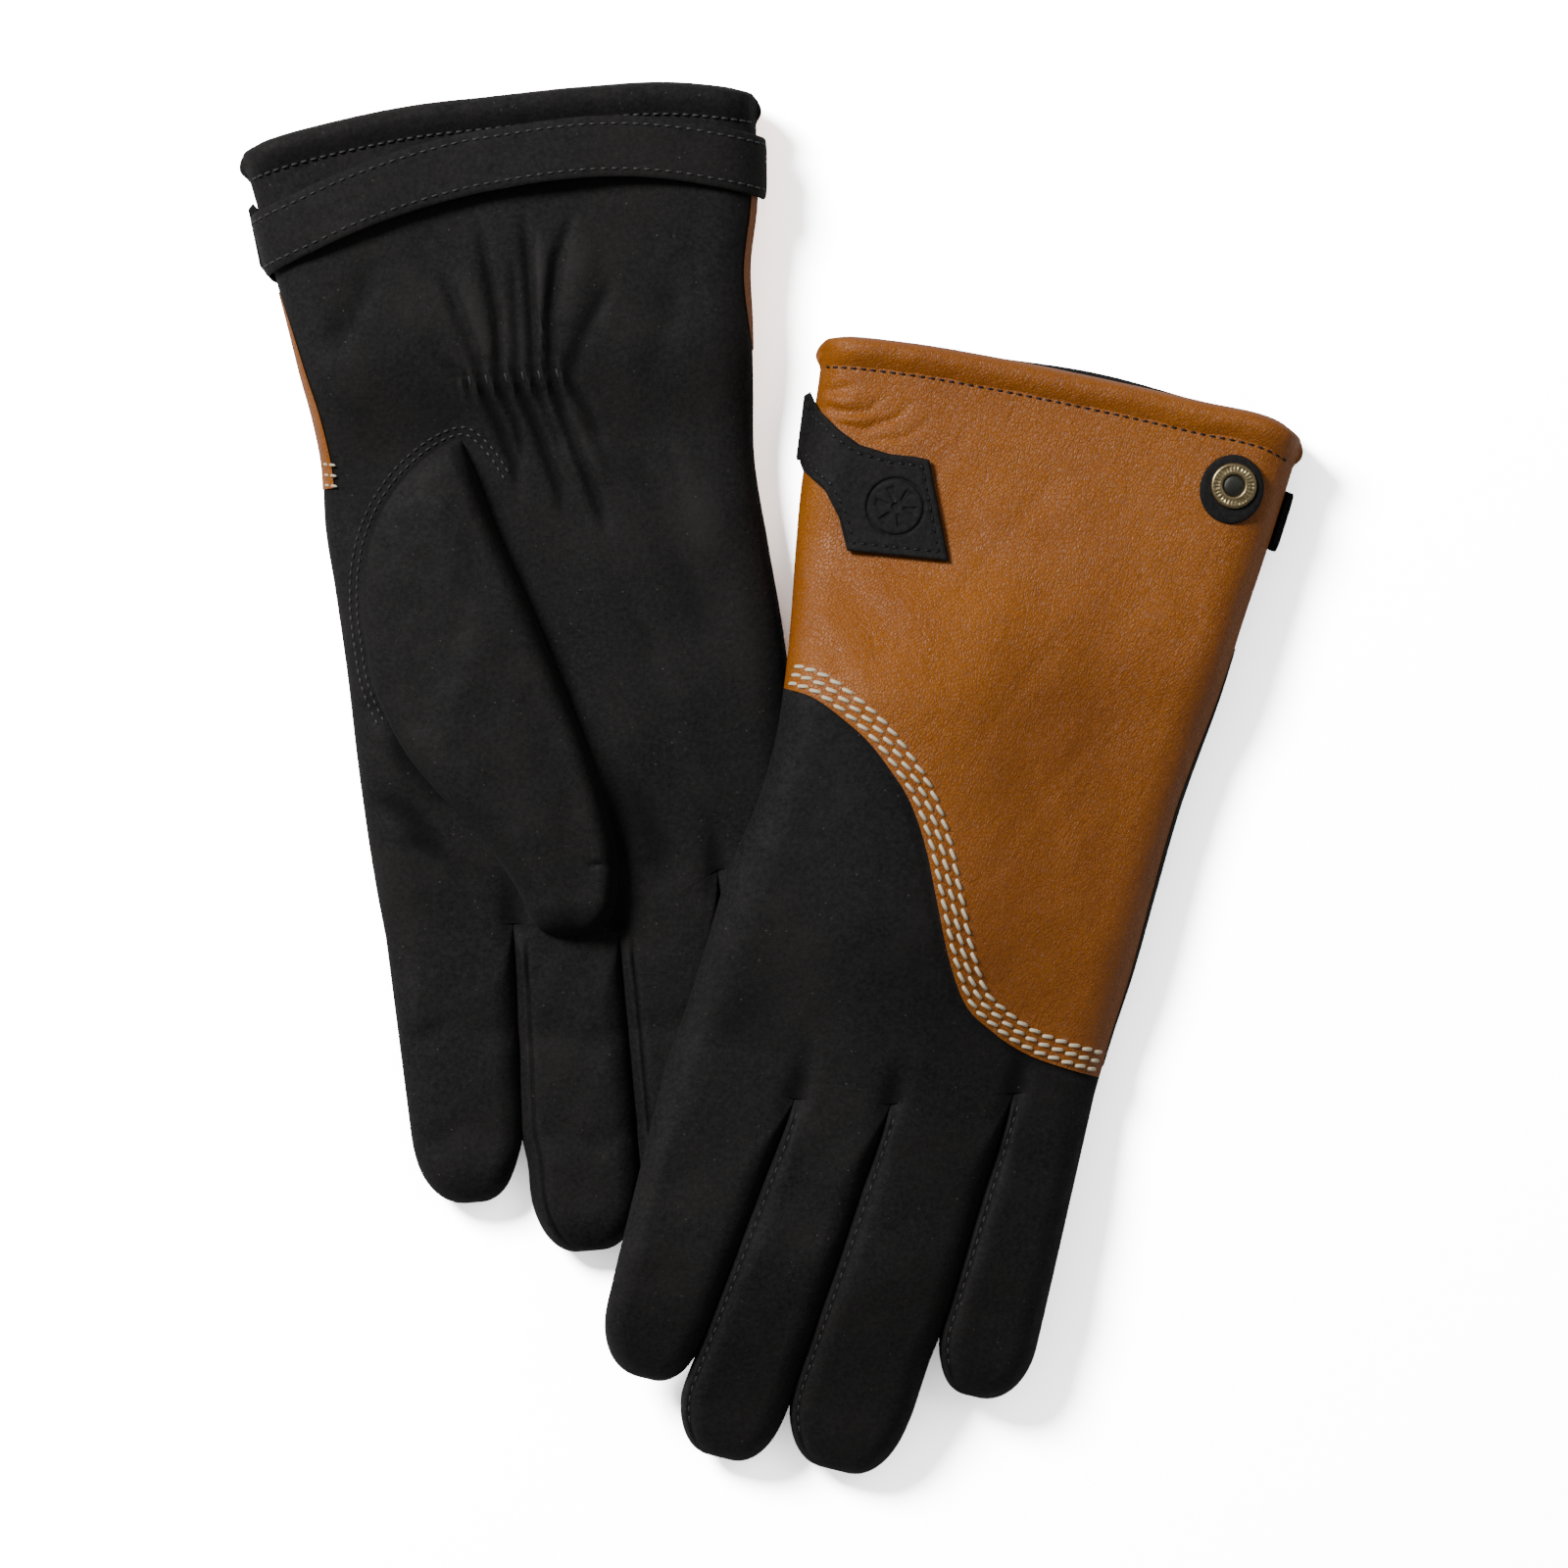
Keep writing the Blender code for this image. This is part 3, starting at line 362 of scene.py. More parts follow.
def tan_material():
    """Smooth semi-gloss leather: a pebbled grain with fine slanting creases."""
    made, tree, shader, place = new_material("tan_leather_look")
    patches = stretch(tree, noise(tree, place, 32, 4), 0.3, 0.72)
    fine = noise(tree, place, 1900, 4, 0.65)
    warp = tree.nodes.new("ShaderNodeMapping")
    warp.vector_type = "TEXTURE"
    warp.inputs["Rotation"].default_value = (0, 0, math.radians(54))
    warp.inputs["Scale"].default_value = (1.75, 1, 1)
    tree.links.new(place, warp.inputs["Vector"])
    slant = warp.outputs["Vector"]
    grain = stretch(tree, cells(tree, slant, 1500, "DISTANCE_TO_EDGE"), 0.0, 0.16)
    creases = noise(tree, slant, 900, 5, 0.7, 0.9)
    folds = noise(tree, slant, 230, 4, 0.6, 0.8)
    ground = mix(tree, patches, (0.48, 0.146, 0.0095, 1), (0.38, 0.108, 0.0070, 1))
    pits = stretch(tree, grain, 0.9, 0.0)
    ground = mix(tree, stretch(tree, creases, 0.50, 0.36, 0, 0.26), ground, (0.20, 0.052, 0.006, 1))
    node = tree.nodes.new("ShaderNodeMath")
    node.operation = "MULTIPLY"
    node.inputs[1].default_value = 0.38
    tree.links.new(pits, node.inputs[0])
    colour = mix(tree, node.outputs[0], ground, (0.22, 0.060, 0.007, 1))
    tree.links.new(colour, shader.inputs["Base Color"])
    rough = stretch(tree, fine, 0.3, 0.7, 0.30, 0.44)
    tree.links.new(rough, shader.inputs["Roughness"])
    shader.inputs["Specular IOR Level"].default_value = 0.45
    bump(tree, shader, [(grain, 0.00016, 0.55), (fine, 0.0002, 0.25),
                        (creases, 0.0005, 0.36), (folds, 0.0014, 0.20)])
    return made


def thread_material(name, colour, shade, rough):
    """Twisted sewing thread."""
    made, tree, shader, place = new_material(name)
    fibres = noise(tree, place, 3200, 3, 0.7)
    tree.links.new(mix(tree, stretch(tree, fibres, 0.3, 0.7), shade, colour),
                   shader.inputs["Base Color"])
    shader.inputs["Roughness"].default_value = rough
    shader.inputs["Specular IOR Level"].default_value = 0.35
    bump(tree, shader, [(fibres, 0.0002, 0.5)])
    return made


def brass_material(name, bright, dull):
    """Antique metal, darker where it is not rubbed."""
    made, tree, shader, place = new_material(name)
    patina = stretch(tree, noise(tree, place, 500, 5, 0.7), 0.35, 0.7)
    colour = mix(tree, patina, bright, dull)
    tree.links.new(colour, shader.inputs["Base Color"])
    shader.inputs["Metallic"].default_value = 1.0
    tree.links.new(stretch(tree, patina, 0, 1, 0.26, 0.5), shader.inputs["Roughness"])
    bump(tree, shader, [(noise(tree, place, 2500, 3), 0.0001, 0.4)])
    return made


def fleece_material():
    """Short dark pile."""
    made, tree, shader, place = new_material("fleece_look")
    pile = noise(tree, place, 900, 5, 0.75)
    tree.links.new(mix(tree, stretch(tree, pile, 0.3, 0.7), (0.008, 0.008, 0.009, 1),
                       (0.035, 0.034, 0.036, 1)), shader.inputs["Base Color"])
    shader.inputs["Roughness"].default_value = 1.0
    shader.inputs["Sheen Weight"].default_value = 0.3
    bump(tree, shader, [(pile, 0.0012, 0.8)])
    return made


def webbing_material():
    """Woven elastic."""
    made, tree, shader, place = new_material("webbing_look")
    wave = tree.nodes.new("ShaderNodeTexWave")
    wave.inputs["Scale"].default_value = 250
    tree.links.new(place, wave.inputs["Vector"])
    tree.links.new(mix(tree, wave.outputs["Fac"], (0.012, 0.012, 0.013, 1),
                       (0.04, 0.04, 0.042, 1)), shader.inputs["Base Color"])
    shader.inputs["Roughness"].default_value = 0.85
    bump(tree, shader, [(wave.outputs["Fac"], 0.0003, 0.6)])
    return made


NUBUCK = nubuck_material()
TAN = tan_material()
BRASS = brass_material("antique_brass_look", (0.62, 0.50, 0.27, 1), (0.25, 0.19, 0.10, 1))
DARK_METAL = brass_material("dark_metal_look", (0.16, 0.16, 0.14, 1), (0.05, 0.05, 0.045, 1))
FLEECE = fleece_material()
WEBBING = webbing_material()
CREAM_THREAD = thread_material("cream_thread", (1.0, 0.93, 0.72, 1), (0.80, 0.68, 0.44, 1), 0.6)
DARK_THREAD = thread_material("dark_thread", (0.016, 0.015, 0.020, 1), (0.006, 0.006, 0.008, 1),
                              0.4)
# The same dark thread as dark_thread, its colour lightened as painted sheen, for the stitches on
# the black leather.
PAINTED_SHEEN_BLACK_THREAD = thread_material("black_thread_painted_sheen", (0.085, 0.085, 0.090, 1), (0.030, 0.030, 0.032, 1),
                               0.38)


# ---------------------------------------------------------------- mesh helpers

def make_piece(name, verts, faces, look, body, relief=None):
    """A mesh piece from points in metres, riding on a body if one is given.

    relief is each point's height over the plain surface in mm, kept for the material, which turns
    it into painted shade in the hollows and a painted highlight on the ridges."""
    mesh = bpy.data.meshes.new(name)
    mesh.from_pydata([tuple(v) for v in np.asarray(verts).tolist()], [], faces)
    shape = bmesh.new()
    shape.from_mesh(mesh)
    bmesh.ops.recalc_face_normals(shape, faces=shape.faces)
    shape.to_mesh(mesh)
    shape.free()
    mesh.materials.append(look)
    if relief is not None:
        kept = mesh.attributes.new("relief", "FLOAT", "POINT")
        kept.data.foreach_set("value", np.asarray(relief, np.float32).ravel())
    mesh.shade_smooth()
    mesh.set_sharp_from_angle(angle=math.radians(50))
    piece = bpy.data.objects.new(name, mesh)
    bpy.context.scene.collection.objects.link(piece)
    if body:
        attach(piece, body)
    return piece


def slab_faces(rows, columns):
    """The faces of a closed layer between two grids of the same shape."""
    number = np.arange(rows * columns).reshape(rows, columns)
    count = rows * columns
    a, b = number[:-1, :-1].ravel(), number[:-1, 1:].ravel()
    c, d = number[1:, 1:].ravel(), number[1:, :-1].ravel()
    faces = np.stack([a, b, c, d], 1).tolist()
    faces += (np.stack([d, c, b, a], 1) + count).tolist()
    rim = list(number[0]) + list(number[1:, -1])
    rim += list(number[-1, -2::-1]) + list(number[-2:0:-1, 0])
    for p, q in zip(rim, rim[1:] + rim[:1]):
        faces.append([int(p), int(p + count), int(q + count), int(q)])
    return faces


def tube_faces(rings, sides, caps=True):
    """The faces of a tube through rings of points, with end caps."""
    faces = []
    for i in range(rings - 1):
        for k in range(sides):
            a, b = i * sides + k, i * sides + (k + 1) % sides
            faces.append([a, b, b + sides, a + sides])
    if caps:
        faces.append([k for k in range(sides)][::-1])
        faces.append([(rings - 1) * sides + k for k in range(sides)])
    return faces


def joined(name, shapes, look, body):
    """One piece from several (verts, faces) shapes."""
    verts, faces, base = [], [], 0
    for shape_verts, shape_faces in shapes:
        verts.append(np.asarray(shape_verts))
        faces += [[i + base for i in face] for face in shape_faces]
        base += len(shape_verts)
    return make_piece(name, np.concatenate(verts), faces, look, body)


def arc_steps(points, pitch, start=0.5):
    """Places every pitch along a polyline, with unit directions."""
    points = np.asarray(points, float)
    steps = np.linalg.norm(np.diff(points, axis=0), axis=1)
    far = np.concatenate([[0], np.cumsum(steps)])
    marks = np.arange(start * pitch, far[-1], pitch)
    spots = np.stack([np.interp(marks, far, points[:, k]) for k in range(points.shape[1])], 1)
    ahead = np.stack([np.interp(marks + 0.2, far, points[:, k])
                      for k in range(points.shape[1])], 1)
    behind = np.stack([np.interp(marks - 0.2, far, points[:, k])
                       for k in range(points.shape[1])], 1)
    way = ahead - behind
    return spots, way / np.linalg.norm(way, axis=1)[:, None]


def stitch_shape(spot, way, normal, length, radius):
    """One stitch: a short arched thread that sinks into the leather at both ends."""
    side = np.cross(normal, way)
    side /= np.linalg.norm(side)
    up = np.cross(way, side)
    verts = []
    for t, size, rise in ((-0.5, 0.35, -0.9), (-0.38, 0.85, -0.15), (-0.15, 1.0, 0.35),
                          (0.15, 1.0, 0.35), (0.38, 0.85, -0.15), (0.5, 0.35, -0.9)):
        middle = spot + way * length * t + up * radius * rise
        for k in range(6):
            angle = math.pi * k / 3
            verts.append(middle + radius * size * (side * math.cos(angle) + up * math.sin(angle)))
    return np.array(verts), tube_faces(6, 6)


class Glove:
    """One glove's surfaces, in its own frame, and its pieces."""

    def __init__(self, spec):
        self.spec = spec
        self.name = spec["name"]
        self.palm_up = spec["palm_up"]
        self.back_up = not spec["palm_up"]
        self.body = self.name + "_glove"
        angle = math.radians(spec["tilt"])
        self.cos, self.sin = math.cos(angle), math.sin(angle)

    def table(self, u, v):
        """Where a point of the glove's frame lies on the table, in mm."""
        x = self.spec["place"][0] + u * self.cos + v * self.sin
        y = self.spec["place"][1] - u * self.sin + v * self.cos
        return x, y

    def world(self, u, v, z):
        """Points in metres."""
        x, y = self.table(np.asarray(u, float), np.asarray(v, float))
        return np.stack([x, y, np.asarray(z, float) + 0 * x], -1).reshape(-1, 3) * MM

    def lift(self, u, v):
        """How far the glove's underside is raised off the table."""
        if self.palm_up:
            return TAB_LIFT * ramp(v, *TAB_RAMP)
        x, y = self.table(u, v)
        over = ramp(y, *OVERLAP_CUFF_RAMP) * ramp(x, *OVERLAP_SIDE_RAMP)
        return OVERLAP_LIFT * over * ramp(y, *OVERLAP_TIP_RAMP) + STRAP_LIFT * ramp(v, *STRAP_RAMP)

    def knuckle(self, u):
        """v of the line through the finger webs."""
        webs = self.spec["webs"]
        return np.interp(u, [w[0] for w in webs], [w[1] for w in webs])

    def cuff(self, u, upper_skin=True):
        """v of the cuff's edge; the lower skin's edge reaches a little further in the middle."""
        reach = 0.0 if upper_skin or self.palm_up else 1.6 * bell(u, 6, 22)
        return along(self.spec["cuff"], u) + reach

    def sides(self, v):
        """u of the two long sides at v."""
        return along(self.spec["thumb_edge"], v), along(self.spec["little_edge"], v)

    def half(self, u, v):
        """Half the flat glove's height."""
        taper = ramp(v - self.knuckle(u), 0, TAPER_LENGTH)
        return (FINGER_THICK + (HAND_THICK - FINGER_THICK) * taper) / 2

    def crown(self, u, v, upper):
        """How far the gauntlet side of the left glove bows up between its edges."""
        if self.palm_up or not upper:
            return 0 * u
        left, right = self.sides(v)
        across = np.clip(2 * (u - left) / (right - left) - 1, -1, 1)
        inside = ramp(self.cuff(u, upper) - v, HEM_WIDTH - 1, 45) * ramp(v, 10, 60)
        return GAUNTLET_CROWN * (1 - across ** 2) * inside

    def skin(self, u, v, upper, extra=0.0):
        """z of the outer face of the upper or the lower skin."""
        left, right = self.sides(v)
        half = self.half(u, v)
        edge = np.minimum(u - left, right - u)
        bulge = 0.04 + (half - 0.04) * dome(edge, SIDE_WIDTH)
        bulge = bulge + (self.relief(u, v, upper) + extra) * ramp(edge, 0, 3)
        bulge = bulge + self.crown(u, v, upper)
        return np.maximum(self.lift(u, v) + half + (1 if upper else -1) * bulge, 0.05)

    def relief(self, u, v, upper):
        """Swells, creases and gathers on a skin; positive stands out."""
        is_palm = upper == self.palm_up
        seed = (3 if self.palm_up else 5) + (20 if is_palm else 0)
        soft = ramp(self.cuff(u) - v, 2, 25)
        fade = ramp(v - self.knuckle(u), 0, 12)
        out = soft * (0.35 * rolls(u, v, seed, 46) + 0.12 * rolls(u, v, seed + 1, 17)) * fade
        for web in self.spec["webs"][1:-1]:
            near = np.exp(-((u - web[0]) / 2.6) ** 2)
            out = out - 1.5 * near * ramp(v - web[1], 15, 0)
        if is_palm:
            out = out + self.palm_relief(u, v)
        else:
            out = out + self.back_relief(u, v)
        out = np.where(out < 0, 1.3 * np.tanh(out / 1.3), 1.7 * np.tanh(out / 1.7))
        return out if upper else np.minimum(out, 0)

    def palm_relief(self, u, v):
        """The shirred wrist, the pleats that run from it, and the creases of the palm."""
        out = 0 * u
        row = bell(v, GATHER_ROW, 3.6) * ramp(np.abs(u), 15.0, 12.0)
        out = out - 0.9 * row
        for peak in GATHERS:
            lean = 0.18 * (v - GATHER_ROW)
            out = out + 1.9 * np.exp(-((u - peak + lean) / 1.05) ** 2) * row
        for line, width, depth in WRIST_FOLDS:
            out = out + depth * fold(u, v, line, width)
        for start, end, width, depth in PALM_FOLDS:
            out = out + depth * crease(u, v, start, end, width, 1.2)
        return out

    def back_relief(self, u, v):
        """The stretched back: the step at the saddle seam and a few soft diagonal folds."""
        inside = self.from_saddle(u, v)
        out = -0.35 * bell(inside, -0.8, 1.3)
        for row in (1.4, 3.5, 5.6):
            out = out - 0.13 * bell(inside, row, 0.55)
        for start, end, width, depth in BACK_FOLDS:
            out = out + depth * crease(u, v, start, end, width, 1.5)
        for line, width, depth in CUFF_FOLDS:
            out = out + depth * fold(u, v, line, width)
        return out

    def from_saddle(self, u, v):
        """Distance above the saddle seam, in mm."""
        slope = (along(SADDLE, u + 0.3) - along(SADDLE, u - 0.3)) / 0.6
        return (v - along(SADDLE, u)) / np.sqrt(1 + slope ** 2)

    def columns(self, width):
        """Fractions across the hand, close together on the rounded sides."""
        turn = np.linspace(0, math.pi / 2, 11)
        near = SIDE_WIDTH * (1 - np.cos(turn)) / width
        count = int((width - 2 * SIDE_WIDTH) / 0.62)
        middle = np.linspace(near[-1], 1 - near[-1], count)
        return np.concatenate([near[:-1], middle, 1 - near[-2::-1]])

    def grid(self, low_v, high_v, rows):
        """Places (u, v) between two lines across the hand, given as functions of u."""
        s = self.columns(100.0)[None, :]
        t = np.linspace(0, 1, rows)[:, None] if isinstance(rows, int) else rows[:, None]
        u = 0 * t + 0 * s
        v = 60.0 + 0 * u
        for _ in range(14):
            left, right = self.sides(v)
            u = left + s * (right - left)
            low, high = low_v(u), high_v(u)
            v = low + t * (high - low)
        return u, v

    def skin_slab(self, piece, place, upper, look, replaced, extra=0.0, thick=LEATHER):
        """A panel of leather over a grid of places."""
        u, v = place
        outer = self.skin(u, v, upper, extra)
        middle = self.lift(u, v) + self.half(u, v)
        sign = 1 if upper else -1
        inner = middle + np.maximum(sign * (outer - middle) - thick, 0.02) * sign
        outer = middle + np.maximum(sign * (outer - middle), 0.05) * sign
        verts = np.concatenate([self.world(u, v, outer), self.world(u, v, inner)])
        # The relief goes to the material as painted shade in the hollows and a painted highlight on
        # the ridges.
        relief = self.relief(u, v, upper)
        made = make_piece(self.name + "_" + piece, verts, slab_faces(*u.shape), look, self.body,
                          relief=[relief, relief])
        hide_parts(self.name + "_" + replaced)
        return made

    def turned_edges(self):
        """The other side's leather, folded round an edge and seen as a narrow strip."""
        turns = RIGHT_TURN if self.palm_up else LEFT_TURN
        look = TAN if self.palm_up else NUBUCK
        for side, spots in zip(("thumb", "little"), turns):
            v = np.linspace(spots[0][0], spots[-1][0], 120)[:, None] + np.zeros((1, 16))
            shown = along(spots, v)
            if shown.max() < 0.5:
                continue
            edge = -0.25 + (shown + 0.25) * np.linspace(0, 1, 16)[None, :] ** 2
            left, right = self.sides(v)
            u = left + edge if side == "thumb" else right - edge
            flip = slice(None, None, 1 if side == "thumb" else -1)
            rim = ramp(shown - edge, 0, 0.5)
            lifted = 0.25 + 0.3 * rim
            base = self.skin(np.clip(u, left, right), v, True, GAUNTLET_PROUD)
            top = base + lifted * ramp(edge, -0.3, 0.6)
            low = base - 0.3
            u, v, top, low = (grid[:, flip] for grid in (u, v, top, low))
            verts = np.concatenate([self.world(u, v, top), self.world(u, v, low)])
            make_piece(f"{self.name}_{side}_edge_strip", verts, slab_faces(*u.shape), look,
                       self.body)
        if self.palm_up:
            left, _ = self.sides(np.array([94.2, 91.7, 89.3]))
            for k, (u, v) in enumerate(zip(left, (94.2, 91.7, 89.3))):
                ends = np.array([[u + 0.4, v, 0], [u + 2.9, v - 0.6, 0]])
                ends[:, 2] = self.skin(ends[:, 0], ends[:, 1], True, GAUNTLET_PROUD) + 0.75
                self.stitches(f"edge_stitch_{k + 1}", ends, 2.4, 2.0, 0.32, CREAM_THREAD,
                              self.body, (0, 0, 1))

    def panels(self):
        """Back, gauntlet and palm leather."""
        hem = HEM_WIDTH - 0.6
        self.skin_slab("back_skin", self.grid(
            self.knuckle, lambda u: along(SADDLE, u) + 0.6, 90), self.back_up, NUBUCK,
            "back_panel")
        self.skin_slab("gauntlet_skin", self.grid(
            lambda u: along(SADDLE, u), lambda u: self.cuff(u, self.back_up) - hem, 130),
            self.back_up, TAN, "gauntlet_panel", GAUNTLET_PROUD)
        self.skin_slab("palm_skin", self.grid(
            self.knuckle, lambda u: self.cuff(u, self.palm_up) - hem, 300), self.palm_up, NUBUCK,
            "palm_panel")
        self.turned_edges()

    def linings(self):
        """The fleece inside the hand, its pile standing up at the cuff's mouth."""
        for piece, upper in (("back_lining", self.back_up), ("palm_lining", self.palm_up)):
            u, v = self.grid(self.knuckle, lambda u: self.cuff(u, upper) - 1.6, 90)
            u, v = u[:, 7:-7], v[:, 7:-7]
            left, right = self.sides(v)
            sign = 1 if upper else -1
            bulge = self.half(u, v) * dome(np.minimum(u - left, right - u), SIDE_WIDTH)
            pile = 0.22 * rolls(u, v, 70, 2.2, 20)
            middle = self.lift(u, v) + self.half(u, v)
            outer = middle + sign * (bulge - LEATHER - 1.3)
            inner = middle + sign * (bulge - LEATHER - 2.7 + pile)
            verts = np.concatenate([self.world(u, v, outer), self.world(u, v, inner)])
            made = make_piece(self.name + "_" + piece + "_fleece", verts, slab_faces(*u.shape),
                              FLEECE, self.body)
            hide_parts(self.name + "_" + piece)

    def hems(self):
        """The bound edges of the cuff: rolled leather, fuller than the panel below it."""
        for piece, upper, look in (("back_hem", self.back_up, TAN),
                                   ("palm_hem", self.palm_up, NUBUCK)):
            t = np.concatenate([np.linspace(0, 0.8, 14), 1 - 0.2 * np.cos(
                np.linspace(0, math.pi / 2, 9))[1:]])
            u, v = self.grid(lambda u: self.cuff(u, upper) - HEM_WIDTH,
                             lambda u: self.cuff(u, upper), t)
            far = self.cuff(u, upper) - v
            sign = 1 if upper else -1
            side_left, side_right = self.sides(v)
            swell = 1.3 * np.sin(math.pi * np.clip(far / HEM_WIDTH, 0, 1)) ** 1.5
            corner = 2.2 * (1 - dome(far, 2.6))
            u = u - (swell - corner) * bell(u, side_left, 4.0)
            u = u + (swell - corner) * bell(u, side_right, 4.0)
            v = v - 1.6 * (1 - dome(np.minimum(u - side_left, side_right - u) + 1.5, 5.0))
            roll = dome(far, 1.7)
            foot = dome(HEM_WIDTH - far, 1.0)
            full = 0.30 + 1.75 * np.sin(math.pi * np.clip(far / HEM_WIDTH, 0, 1) ** 0.75) * foot
            full = full + 0.10 * rolls(u, v, 40, 9)
            middle = self.lift(u, v) + self.half(u, v)
            left, right = self.sides(v)
            edge = np.minimum(u - left, right - u)
            bulge = self.half(u, v) * dome(edge, SIDE_WIDTH)
            outer = middle + sign * np.maximum(bulge + full * ramp(edge, -2, 3) - 1.9
                                               + 1.9 * roll, 0.06)
            inner = middle + sign * np.maximum(bulge - 1.9 - 1.5 * roll, 0.02)
            verts = np.concatenate([self.world(u, v, outer), self.world(u, v, inner)])
            made = make_piece(self.name + "_" + piece + "_binding", verts,
                              slab_faces(*u.shape), look, self.body)
            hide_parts(self.name + "_" + piece)

    # ---- fingers

    def finger_side(self, index, side, v):
        """u of a finger's long side at v, before it meets its neighbour; side is -1 or 1."""
        web = self.spec["webs"][index + (side > 0)]
        u, tip, radius = self.spec["tips"][index]
        share = (web[1] - v) / (web[1] - tip)
        return web[0] + (u + side * radius - web[0]) * share

    def against_neighbour(self, index, side, u, v):
        """Moves a long side to the line where it presses against the next finger."""
        other = index + side
        if other < 0 or other > 3:
            return u
        shorter = max(self.spec["tips"][index][1], self.spec["tips"][other][1])
        line = (self.finger_side(index, side, v) + self.finger_side(other, -side, v)) / 2
        touch = ramp(v - shorter, -7, 5)
        return u + (line + side * 0.3 - u) * touch

    def finger_frame(self, index, rows, columns):
        """Places (u, v) in a finger, with the distances to its two sides and its end."""
        webs, tip = self.spec["webs"], self.spec["tips"][index]
        a, b = np.array(webs[index], float), np.array(webs[index + 1], float)
        radius = tip[2]
        cap = 1.35 * radius
        centre = np.array([tip[0], tip[1] - radius + cap])
        reach = -centre[1] + (a[1] + b[1]) / 2
        straight = reach / (reach + cap)
        s, t = columns[None, :], rows[:, None] + 0 * columns[None, :]
        down = np.clip(t / straight, 0, 1)
        beyond = np.clip((t - straight) / (1 - straight), 0, 1) * cap
        narrow = radius * (1 - np.maximum(1 - (beyond / cap) ** 2.15, 1e-4) ** (1 / 2.15))
        left_blunt = 0.80 if index > 0 else 0.95
        right_blunt = 0.80 if index < 3 else 0.95
        left_v = a[1] + (centre[1] - a[1]) * down - beyond
        right_v = b[1] + (centre[1] - b[1]) * down - beyond
        left_u = self.finger_side(index, -1, np.maximum(left_v, tip[1]))
        right_u = self.finger_side(index, 1, np.maximum(right_v, tip[1]))
        left_u = self.against_neighbour(index, -1, left_u, left_v) + narrow * left_blunt
        right_u = self.against_neighbour(index, 1, right_u, right_v) - narrow * right_blunt
        u = left_u + s * (right_u - left_u)
        v = left_v + s * (right_v - left_v)
        width = right_u - left_u
        return u, v, s * width, (1 - s) * width, cap - beyond, t * (reach + cap)

    def finger_surface(self, index, place, upper):
        """z of a finger's upper or lower face."""
        u, v, near, far, end, down = place
        grow = 0.4 + (FINGER_SIDE_WIDTH - 0.4) * ramp(down, 0, 20)
        outer = SIDE_WIDTH + (FINGER_SIDE_WIDTH - SIDE_WIDTH) * ramp(down, 0, 20)
        first = outer if index == 0 else grow
        last = outer if index == 3 else grow
        radius = self.spec["tips"][index][2]
        shape = dome(near, first) * dome(far, last) * dome(end, radius * 0.75)
        half = FINGER_THICK / 2
        bulge = 0.04 + (half - 0.04) * shape
        if upper:
            fade = ramp(down, 0, 10) * ramp(end, 0, 6)
            swell = 0.16 * rolls(u, v, 90 + index, 15) + 0.28 * rolls(u, v, 95 + index, 34)
            inset = 3.3 if self.palm_up else 2.1
            seam = 0.28 * bell(near, inset - 1.1, 0.7) - 0.5 * bell(near, inset, 0.5)
            if index == 0:
                seam = 0 * seam
            swell = swell + seam
            bulge = bulge + fade * swell * ramp(np.minimum(near, far), 0, 1.0)
            bulge = bulge + self.finger_creases(index, u, down, near) * fade
        for web in self.spec["webs"][1:-1]:
            bulge = bulge - 1.5 * np.exp(-((u - web[0]) / 2.6) ** 2) * ramp(down, 12, 0) * (
                bulge > 2)
        middle = self.lift(u, v) + half
        return middle + (1 if upper else -1) * np.maximum(bulge, 0.03)

    def finger_painted_seam_shade(self, index, place):
        """Painted shade along the seam on a finger's thumb side: a groove depth given only to the
        material, which darkens it.
        """
        near, down, end = place[2], place[5], place[4]
        inset = 3.3 if self.palm_up else 2.1
        groove = -1.1 * bell(near, inset, 0.55) * ramp(down, 0, 8) * ramp(end, 0, 5)
        return groove if index > 0 else 0 * groove

    def finger_creases(self, index, u, down, near):
        """Soft bends where a worn finger folds."""
        depth = 0.5 if self.palm_up else 0.15
        out = 0 * u
        for place in (24.0, 48.0):
            sway = 1.5 * np.sin(near * 0.35 + index * 2.0)
            out = out - depth * bell(down, place + index * 1.7 + sway, 3.2)
        return out

    def finger(self, index):
        """One whole finger of leather, rounded all round."""
        name = FINGERS[index]
        moves = self.back_up or index < 2
        turn = np.linspace(0, math.pi / 2, 18)
        curve = 0.24 * (1 - np.cos(turn))
        columns = np.concatenate([curve[:-1], np.linspace(curve[-1], 1 - curve[-1], 18),
                                  1 - curve[-2::-1]])
        rows = np.concatenate([np.linspace(0, 0.82, 76), 0.82 + 0.18 * np.sin(
            np.linspace(0, math.pi / 2, 26))[1:]])
        place = self.finger_frame(index, rows, columns)
        u, v = place[0], place[1]
        top = self.finger_surface(index, place, True)
        low = self.finger_surface(index, place, False)
        verts = np.concatenate([self.world(u, v, top), self.world(u, v, low)])
        body = None if moves else self.body
        # Painted shade along the finger's seam, carried in the relief attribute.
        groove = self.finger_painted_seam_shade(index, place)
        made = make_piece(self.name + "_" + name + "_finger", verts, slab_faces(*u.shape),
                          NUBUCK, body, relief=[groove, 0 * groove])
        nodes = ["back", "palm", "lining"] + (["fourchette"] if index < 3 else [])
        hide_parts(*[f"{self.name}_{name}_{part}" for part in nodes])
        threads = self.finger_stitches(index) if index > 0 and self.back_up else None
        if moves:
            start, end = self.knuckle_span(index)
            for piece in [made] + ([threads] if threads else []):
                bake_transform(piece)

